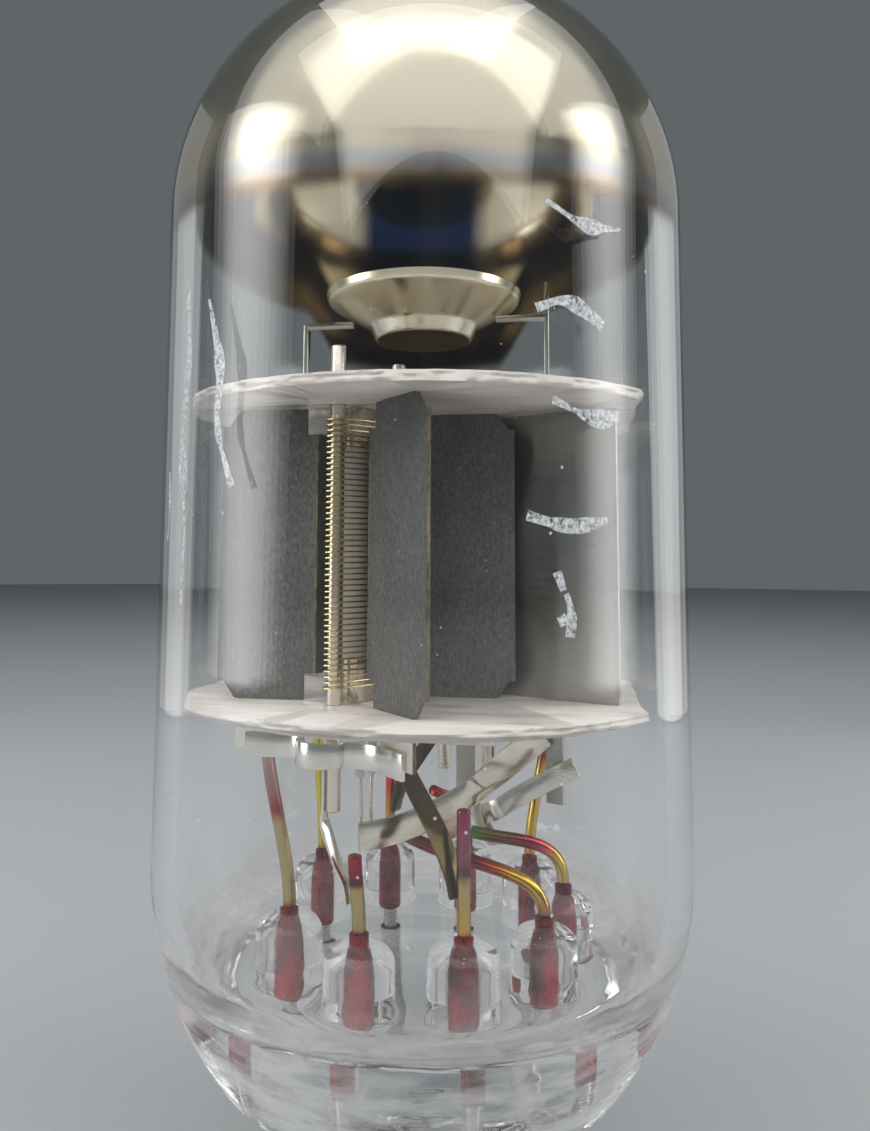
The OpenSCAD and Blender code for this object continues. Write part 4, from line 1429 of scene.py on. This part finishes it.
@dataclass
class Wiring:
    """Leads, straps and ribbons under the micas."""

    plan: Plan = Plan()
    strap_w: float = 1.05
    strap_rise: float = 1.25
    strap_beside: float = 0.185
    strap_ahead: float = 0.55
    strap_lift: float = 0.05
    fold_x: float = 2.75
    fold_y: float = -0.28
    side_bends: tuple[tuple[float, float, float], ...] = (
        (0.12, 0.27, 0.0),
        (0.31, 1.0, 0.11),
        (0.66, 0.56, 0.46),
        (1.0, 0.0, 0.76),
        (1.28, 0.0, 1.0),
    )
    strip_bends: tuple[tuple[float, float, tuple[float, float, float]], ...] = (
        (0.15, 0.19, (0.3, 0.9, 0.2)),
        (0.76, 0.63, (0.5, 0.7, 0.5)),
        (0.96, 0.85, (0.2, 0.9, 0.2)),
        (1.0, 1.0, (0.0, 1.0, 0.0)),
    )
    flap_down: float = 0.75
    strap_end_down: float = 0.75
    side_strap_w: float = 0.75
    side_strap_rise: float = 2.3
    side_strap_bow: float = 0.45
    heater_link_w: float = 0.6
    heater_link_meets: float = 0.75
    strip_w: float = 0.75
    strip_drop: float = 5.4
    anode_strap_h: float = 0.9
    anode_strap_r: float = 0.95
    anode_strap_x: float = -0.3
    anode_strap_ahead: float = 0.2
    anode_strap_drop: float = 0.3
    link_w: float = 0.5
    link_t: float = 0.1
    link_bow: float = 0.45
    link_foot: float = 0.5
    link_weld: float = 1.8
    front_link_meets: float = 1 / 2
    back_link_meets: float = 1 / 3
    link_side: tuple[float, float, float] = (-0.834, -0.551, 0.0)
    front_rod_down: float = 3.3
    back_rod_down: float = 4.1
    tall_lead_h: float = 4.6
    short_lead_h: float = 2.9
    lead_4_down: float = 0.42
    lead_5_down: float = 1.2
    lead_steps: int = 40
    lead_sides: int = 20
    lead_round: float = 0.1

    def past_heater(self) -> Vector:
        """Gives the strap's front plane beside the front heater's bare ends."""
        y = -self.plan.triode_off - self.strap_ahead
        return Vector((self.strap_beside, y, self.plan.heater_end_z + self.strap_lift))

    def fold(self) -> Vector:
        """Gives the strap's fold against the screen's middle tab."""
        return Vector((self.fold_x, self.fold_y, self.plan.heater_end_z + self.strap_lift + self.strap_rise))

    def strap_point(self, share: float, up: float, behind: float) -> Vector:
        """Gives a point of the heater strap's plane.

        Args:
            share: share of the way to the fold.
            up: height above the strap's middle line.
            behind: distance behind the plane.

        Returns:
            The point.
        """
        start, end = self.past_heater(), self.fold()
        way = (end - start).xy.normalized()
        place = start.lerp(end, share)
        place.xy += behind * Vector((-way.y, way.x))
        place.z = start.z + self.strap_rise * share**2 + up
        return place

    def lead_ends(self) -> list[tuple[Vector, float, Vector]]:
        """Gives each lead's upper end, its straight rise and the pull at its end."""
        plan = self.plan
        beside_strap = plan.beside_lead(plan.strap_t)
        tab = plan.tab_from_face + plan.tab_w / 2
        anode = plan.wing(-1, tab, -plan.beside_lead(plan.anode_t), plan.under_z - plan.tab_down)
        up = Vector((0, 0, 0.2))
        short, tall = plan.bead_z + self.short_lead_h, plan.bead_z + self.tall_lead_h
        screen = Vector((-plan.side_tab_x, plan.beside_lead(plan.screen_t), plan.under_z - 0.6))
        return [
            (anode + up, 1.8, Vector((0.1, 0.2, -2.2))),
            (plan.pin(2, short) + Vector((-0.15, -0.1, 0)), 1.0, Vector((0, 0, -0.8))),
            (plan.pin(3, tall), 1.5, Vector((0, 0, -1.5))),
            (self.strap_point(0.4, -self.lead_4_down, beside_strap + 0.22), 1.85, Vector((2.5, 0.9, -1.2))),
            (self.strap_point(0.88, -self.lead_5_down, beside_strap + 0.03), 2.1, Vector((1.5, 1.6, -0.85))),
            (half_turned(anode) + up, 1.8, Vector((-0.1, -0.2, -2.2))),
            (plan.pin(7, short) + Vector((-0.5, -2.3, 0)), 2.2, Vector((0.3, 1.5, -0.85))),
            (plan.pin(8, tall), 1.5, Vector((0, 0, -1.5))),
            (screen, 2.4, Vector((0, 0, -2.4))),
        ]

    def on_lead(self, index: int, share: float) -> Vector:
        """Gives a point on the middle line of a lead, a share of the way up from its bead."""
        end, rise, pull = self.lead_ends()[index - 1]
        start = self.plan.pin(index, self.plan.wire_z + 4 * self.plan.seat)
        return bezier([start, start + Vector((0, 0, rise)), end + pull, end], share)

    def lead(self, index: int) -> None:
        """Builds a lead with rounded ends."""
        route = [self.on_lead(index, k / self.lead_steps) for k in range(self.lead_steps + 1)]
        lean = (route[-1] - route[0]).xy
        aside = Vector((-lean.y, lean.x, 0)).normalized() if lean.length > 0.1 else Vector((0, 1, 0))
        work = bmesh.new()
        size = (self.plan.lead_d, self.plan.lead_d)
        sweep(work, frames_along([Station(place, aside) for place in route]), size, self.lead_sides)
        outward(work)
        soften(work, self.lead_round)
        tint = WireTint(f"lead_tint_{index}", LEAD_TINTS[index - 1])
        finish_piece(f"lead_wire_{index}", work, tint.material(), "lead_metal", f"lead_{index}")

    def heater_strap(self) -> bmesh.types.BMesh:
        """Builds the strap and its folded lower layer."""
        work = bmesh.new()
        up = Vector((0, 0, 1))
        front = [Station(self.strap_point(share, 0, 0), up) for share in (-0.02, 0.25, 0.5)]
        front.append(Station(self.strap_point(0.75, 0, 0), Vector((-0.15, -0.25, 0.9))))
        front.append(Station(self.strap_point(1.0, 0, 0), Vector((-0.33, -0.5, 0.8))))
        tab_x = self.plan.side_tab_x - self.plan.side_tab_w / 2
        end = Vector((tab_x, self.fold().y, self.plan.under_z - self.strap_end_down))
        front.append(Station(end, Vector((-1, 0, 0.9))))
        ribbon(work, front, self.strap_w, self.plan.strap_t)
        lower = [Station(self.strap_point(share, -self.flap_down, 0), up) for share in (0.62, 0.8, 0.93)]
        ribbon(work, lower, self.strap_w, self.plan.strap_t * 0.9)
        return work

    def side_strap(self) -> bmesh.types.BMesh:
        """Builds the strap from the fold up to the screen's right tab."""
        work = bmesh.new()
        fold = self.fold()
        way = self.plan.side_tab_x - fold.x
        low = fold.z - self.flap_down - self.side_strap_w / 8
        stations = []
        for along, bow, rise in self.side_bends:
            x, y = fold.x + along * way, fold.y - bow * self.side_strap_bow
            place = Vector((x, y, low + rise * self.side_strap_rise))
            stations.append(Station(place, Vector((-0.45, 0, 0.8))))
        ribbon(work, stations, self.side_strap_w, self.plan.strap_t)
        return work

    def heater_link(self) -> bmesh.types.BMesh:
        """Builds the link from the back heater's bare ends to lead 5."""
        work = bmesh.new()
        plan, wide = self.plan, self.heater_link_w
        start_y = plan.triode_off + plan.heater_gap / 2 + wide / 4
        start = Vector((self.strap_beside, start_y, plan.heater_end_z + wide / 2))
        beside = plan.beside_lead(plan.strap_t)
        end = self.on_lead(5, self.heater_link_meets) + Vector((-wide / 6, wide / 6, -beside))
        stations = [
            Station(start, Vector((0, 0, 1))),
            Station(start - Vector((0, plan.heater_gap + wide / 2, 0)), Vector((0, 0, 1))),
            Station(end + wide * Vector((-1, 1, 0.15)), Vector((0.7, 0.7, 0.3))),
            Station(end, Vector((0.7, 0.7, 0))),
        ]
        ribbon(work, stations, wide, plan.strap_t)
        return work

    def cathode_strip(self) -> bmesh.types.BMesh:
        """Builds the strip from the front cathode's sleeve to its lead."""
        work = bmesh.new()
        plan = self.plan
        weld_x = plan.sleeve_t / 2 + plan.strap_t / 2 + plan.seat
        weld = Vector((weld_x, plan.sleeve_w * 0.28 - plan.triode_off, 0))
        low = plan.under_z - plan.sleeve_out
        beside = plan.beside_lead(plan.strap_t)
        way = plan.pin(3) + Vector((-beside, plan.strap_t / 4, 0)) - weld
        flat = Vector((0, 1, 0))
        stations = [
            Station(weld + Vector((0, 0, low + plan.sleeve_out - 0.03)), flat),
            Station(weld + Vector((0, 0, low)), flat),
        ]
        for along, drop, across in self.strip_bends:
            place = weld + along * way + Vector((0, 0, low - drop * self.strip_drop))
            stations.append(Station(place, Vector(across)))
        ribbon(work, stations, self.strip_w, plan.strap_t)
        return work

    def grid_link(self, down: float, meet: Vector) -> bmesh.types.BMesh:
        """Builds the ribbon from the front triode's outer rod to its lead.

        Args:
            down: length of the rod below the micas.
            meet: point of the lead that the ribbon runs to.

        Returns:
            The ribbon's mesh.
        """
        work = bmesh.new()
        plan = self.plan
        side = Vector(self.link_side)
        beside = (plan.rod_d / 2 + self.link_t / 2 + plan.seat) * side
        rod = Vector((0, -plan.triode_off - plan.rod_off, 0)) + beside
        edge_on = Vector((-side.y, side.x, 0))
        low = plan.under_z - down
        foot = meet - Vector((plan.lead_d / 2 + self.link_t / 2 + 4 * plan.seat, 0, 0))
        face = Vector((0, -1, 0))
        bow = self.link_bow
        stations = [
            Station(rod + Vector((0, 0, low + self.link_weld)), edge_on),
            Station(rod + Vector((0, 0, low - plan.seat)), edge_on),
            Station(rod + Vector((bow / 4, 0, low - self.link_foot)), Vector((-0.2, -1, 0))),
            Station(foot + Vector((-bow, -bow / 4, 1.6 * self.link_foot)), face),
            Station(foot + Vector((-bow / 4, 0, 0.4 * self.link_foot)), face),
            Station(foot - Vector((0, 0, self.link_foot)), face),
        ]
        ribbon(work, stations, self.link_w, self.link_t)
        return work

    def anode_strap(self) -> bmesh.types.BMesh:
        """Builds the strap that joins the front anode's halves round the outer rod."""
        work = bmesh.new()
        plan = self.plan
        out = (plan.anode_t + plan.strap_t) / 2 + plan.seat
        height = plan.under_z - plan.tab_down - self.anode_strap_drop + self.anode_strap_h / 2
        bend = Vector((self.anode_strap_x, -plan.triode_off - plan.rod_off - self.anode_strap_ahead, height))
        quarter = arc((0.0, 0.0), 1.0, 0.0, 90.0, steps=8)
        places = []
        for side in (-1, 1):
            ends = [
                plan.wing(side, plan.tab_from_face + plan.tab_w * 0.8, out, height),
                plan.wing(side, plan.tab_from_face - plan.strap_t, out, height),
            ]
            curve = [bend + self.anode_strap_r * Vector((side * c, -s, 0)) for c, s in quarter]
            places += [*ends, *curve] if side < 0 else reversed([*ends, *curve[:-1]])
        stations = [Station(place, Vector((0, 0, 1))) for place in places]
        ribbon(work, stations, self.anode_strap_h, plan.strap_t)
        return work

    def build(self) -> None:
        """Builds all leads, straps and ribbons."""
        for index in range(1, PINS + 1):
            self.lead(index)
        strap, nickel = Finish.STRAP.material(), Finish.NICKEL.material()
        bronzed = Finish.BRONZED.material()
        finish_piece("heater_ribbon", self.heater_strap(), strap, "strap_metal", "heater_strap")
        finish_piece("side_ribbon", self.side_strap(), nickel, "nickel", "side_strap")
        finish_piece("link_ribbon", self.heater_link(), strap, "strap_metal", "heater_link")
        front_meet = self.on_lead(2, self.front_link_meets)
        back_meet = half_turned(self.on_lead(7, self.back_link_meets))
        rods_down = (self.front_rod_down, self.back_rod_down)
        for end, down, meet in zip(ENDS, rods_down, (front_meet, back_meet)):
            pieces = {
                "cathode_strip": (self.cathode_strip(), bronzed, "bronzed_strip"),
                "anode_strap": (self.anode_strap(), nickel, "nickel"),
                "grid_link": (self.grid_link(down, meet), nickel, "nickel"),
            }
            for name, (work, material, slot) in pieces.items():
                set_at(end, work)
                finish_piece(f"{name}_{end}_ribbon", work, material, slot, f"{name}_{end}")


@dataclass
class Markings:
    """Worn strokes of silver ink on the glass, plain dashes that spell nothing."""

    glass_r: float = field(default_factory=lambda: box_mm("glass_bulb")[1].x)
    thick: float = 0.03
    width: float = 0.62
    sunk: float = 0.004
    strokes: tuple[tuple[Point, ...], ...] = (
        ((-21.0, 37.4), (-19.0, 34.5), (-21.5, 31.0), (-19.0, 28.2), (-20.0, 25.3)),
        ((-12.0, 36.2), (-7.5, 33.6), (-9.0, 31.6), (-4.0, 29.4)),
        ((-29.0, 30.2), (-28.0, 29.0), (-29.0, 27.6)),
        ((54.0, 38.9), (62.0, 38.2), (71.0, 38.5)),
        ((52.0, 35.2), (58.0, 35.7), (66.0, 34.9)),
        ((55.0, 32.2), (64.0, 31.6), (70.0, 31.9)),
        ((50.0, 28.4), (58.0, 28.0), (66.5, 28.3)),
        ((55.6, 26.6), (56.8, 26.0)),
        ((57.4, 25.9), (58.6, 25.2), (58.0, 24.5)),
        ((56.2, 25.2), (57.0, 24.9)),
    )

    def build(self) -> None:
        """Builds the strokes."""
        work = bmesh.new()
        for stroke in self.strokes:
            stations = []
            for azimuth, height in stroke:
                a = math.radians(azimuth)
                out = Vector((math.sin(a), -math.cos(a), 0))
                place = out * self.ink_r()
                place.z = height
                stations.append(Station(place, out))
            self.stroke(work, stations)
        finish_piece("ink_strokes", work, SilverInk().material(), None)

    def ink_r(self) -> float:
        """Gives the radius of the ink's middle, just inside the glass so that the box holds it."""
        return self.glass_r - self.sunk - self.thick / 2

    def stroke(self, work: bmesh.types.BMesh, stations: Sequence[Station]) -> None:
        """Adds one stroke that follows the glass."""
        fine = eased(stations, 0.9, 8)
        for i, here in enumerate(fine):
            flat = here.place.xy.normalized() * self.ink_r()
            fine[i] = Station(Vector((*flat, here.place.z)), Vector((*flat.normalized(), 0)))
        fresh = bmesh.new()
        frames = []
        for index, (here, frame_here) in enumerate(zip(fine, frames_along(fine))):
            share = index / (len(fine) - 1)
            wide = (0.9 + 1.1 * noise.noise(here.place * 0.9)) * (0.2 + 1.6 * share * (1 - share)) ** 0.5
            frames.append(frame_here @ Matrix.Diagonal((1.0, wide, 1.0, 1.0)))
        sweep(fresh, frames, (self.thick, self.width), 4)
        outward(fresh)
        join(work, fresh)


@dataclass(frozen=True)
class SoftLight:
    """A rectangle of light that faces the tube, with nested panes that make its sides fade.

    The azimuth is its direction from the tube, where 0 is -Y and 90 is +X, and the rise is the
    angle above the horizon, both in degrees. Distances and sizes are in millimetres.
    """

    name: str
    azimuth: float
    rise: float
    away: float
    size: Point
    glow: float
    panes: int = 1
    fade: float = 0.8
    aim_z: float = 28.0

    def hang(self) -> None:
        """Hangs the panes, each a millimetre nearer and narrower than the one before."""
        a, e = math.radians(self.azimuth), math.radians(self.rise)
        back = Vector((math.sin(a) * math.cos(e), -math.cos(a) * math.cos(e), math.sin(e)))
        for pane in range(self.panes):
            data = bpy.data.lights.new(f"{self.name}_{pane}", "AREA")
            data.shape = "RECTANGLE"
            share = 1 - pane * self.fade / self.panes
            data.size, data.size_y = self.size[0] * share * MM, self.size[1] * MM
            data.energy = self.glow * math.pi * data.size * data.size_y / self.panes
            lamp = bpy.data.objects.new(f"{self.name}_{pane}", data)
            bpy.context.scene.collection.objects.link(lamp)
            lamp.location = (Vector((0, 0, self.aim_z)) + back * (self.away - pane)) * MM
            lamp.rotation_mode = "QUATERNION"
            lamp.rotation_quaternion = back.to_track_quat("Z", "Y")


LIGHTS = (
    SoftLight("left_box", -44.0, 16.0, 137.0, (92.0, 128.0), 3.2, panes=5),
    SoftLight("right_box", 113.0, 16.0, 137.0, (70.0, 128.0), 2.9, panes=5),
    SoftLight("left_window", -35.0, 52.0, 300.0, (255.0, 250.0), 0.95),
    SoftLight("middle_window", 37.0, 56.0, 360.0, (560.0, 400.0), 1.3),
    SoftLight("right_window", 106.0, 52.0, 300.0, (225.0, 250.0), 0.95),
    SoftLight("left_rim", -94.0, 14.0, 120.0, (60.0, 116.0), 0.3),
    SoftLight("right_rim", 161.0, 14.0, 120.0, (60.0, 116.0), 0.4),
    SoftLight("top_box", 30.0, 86.0, 420.0, (330.0, 330.0), 1.4),
)


@dataclass
class Studio:
    """Plain pale floor, soft lights and the camera at the photograph's place."""

    lens: float = 28.70
    sensor_w: float = 36.0
    shift: Point = (0.0259, -0.0793)
    eye: tuple[float, float, float] = (21.05, -33.23, 27.0)
    azimuth: float = 33.443
    rise: float = 5.229
    roll: float = 0.385
    floor_r: float = 900.0
    backdrop: Colour = (0.155, 0.176, 0.183)
    backdrop_glow: float = 0.75

    def camera(self) -> None:
        """Places the camera."""
        data = bpy.data.cameras.new("studio_camera")
        data.lens = self.lens
        data.sensor_width = self.sensor_w
        data.shift_x, data.shift_y = self.shift
        data.clip_start = 1 * MM
        data.clip_end = 10.0
        camera = bpy.data.objects.new("studio_camera", data)
        bpy.context.scene.collection.objects.link(camera)
        turn = Matrix.Rotation(math.radians(self.azimuth), 4, "Z")
        tilt = Matrix.Rotation(math.radians(90 + self.rise), 4, "X")
        roll = Matrix.Rotation(math.radians(self.roll), 4, "Z")
        camera.matrix_world = Matrix.Translation(Vector(self.eye) * MM) @ turn @ tilt @ roll
        bpy.context.scene.camera = camera

    def floor(self) -> None:
        """Lays the floor under the pins."""
        work = bmesh.new()
        bmesh.ops.create_circle(work, cap_ends=True, segments=64, radius=self.floor_r * MM)
        mesh = bpy.data.meshes.new("floor")
        work.to_mesh(mesh)
        work.free()
        mesh.materials.append(PaleFloor().material())
        floor = bpy.data.objects.new("floor", mesh)
        bpy.context.scene.collection.objects.link(floor)

    def build(self) -> None:
        """Builds the studio."""
        self.camera()
        self.floor()
        for light in LIGHTS:
            light.hang()
        world = bpy.data.worlds.new("studio")
        world.use_nodes = True
        background = world.node_tree.nodes["Background"]
        background.inputs["Color"].default_value = (*self.backdrop, 1.0)
        background.inputs["Strength"].default_value = self.backdrop_glow
        bpy.context.scene.world = world
        bpy.context.scene.view_settings.view_transform = "Standard"


class Finish(Enum):
    """Finishes that several CAD nodes or pieces share."""

    SCREEN = SheetMetal(
        "screen_nickel",
        base=(0.42, 0.42, 0.39),
        tint=(0.34, 0.33, 0.29),
        rough=0.34,
        scratch=(0.4, 0.4, 22.0),
        scratch_mm=0.0015,
        shine=0.12,
    )
    NICKEL = SheetMetal(
        "bare_nickel",
        base=(0.88, 0.86, 0.79),
        tint=(0.42, 0.38, 0.3),
        rough=0.17,
        scratch=(1.0, 1.0, 20.0),
        scratch_mm=0.002,
    )
    STRAP = SheetMetal(
        "heated_strap",
        base=(0.86, 0.8, 0.67),
        tint=(0.3, 0.22, 0.1),
        rough=0.13,
        scratch=(1.0, 1.0, 20.0),
        turn=24.0,
        scratch_mm=0.002,
        tint_share=0.6,
        shine=0.25,
    )
    BRONZED = SheetMetal(
        "bronzed_strip",
        base=(0.13, 0.09, 0.03),
        tint=(0.03, 0.012, 0.03),
        rough=0.15,
        scratch=(1.0, 1.0, 20.0),
        scratch_mm=0.002,
        tint_share=0.8,
        shine=0.03,
    )
    ROD = SheetMetal("grid_rod", base=(0.85, 0.8, 0.68), tint=(0.7, 0.6, 0.42), rough=0.2)
    GOLD = SheetMetal("grid_gold", base=(0.9, 0.74, 0.4), tint=(0.7, 0.5, 0.2), rough=0.2)
    PIN = SheetMetal("pin_plating", base=(0.6, 0.59, 0.56), tint=(0.36, 0.32, 0.26), rough=0.25)
    CLAD = CladWire()

    def material(self) -> bpy.types.Material:
        """Builds the finish's material."""
        return self.value.material()


DRESS: dict[Finish, tuple[str, ...]] = {
    Finish.PIN: tuple(f"pin_{i}" for i in range(1, PINS + 1)),
    Finish.CLAD: tuple(f"seal_wire_{i}" for i in range(1, PINS + 1)),
}


def dress_nodes() -> None:
    """Gives each CAD node that stays in view its finish."""
    for finish, names in DRESS.items():
        material = finish.material()
        for name in names:
            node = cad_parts[name]
            if not node.material_slots:
                node.data.materials.append(None)
            for place in node.material_slots:
                place.material = material
        LOG.info("%s on %d nodes", finish.name.lower(), len(names))


def main() -> None:
    """Builds the studio and the tube."""
    logging.basicConfig(level=logging.INFO)
    Studio().build()
    for part in (Envelope(), Getter(), Cage(), Wiring(), Markings()):
        part.build()
    dress_nodes()


if __name__ == "__main__":
    main()
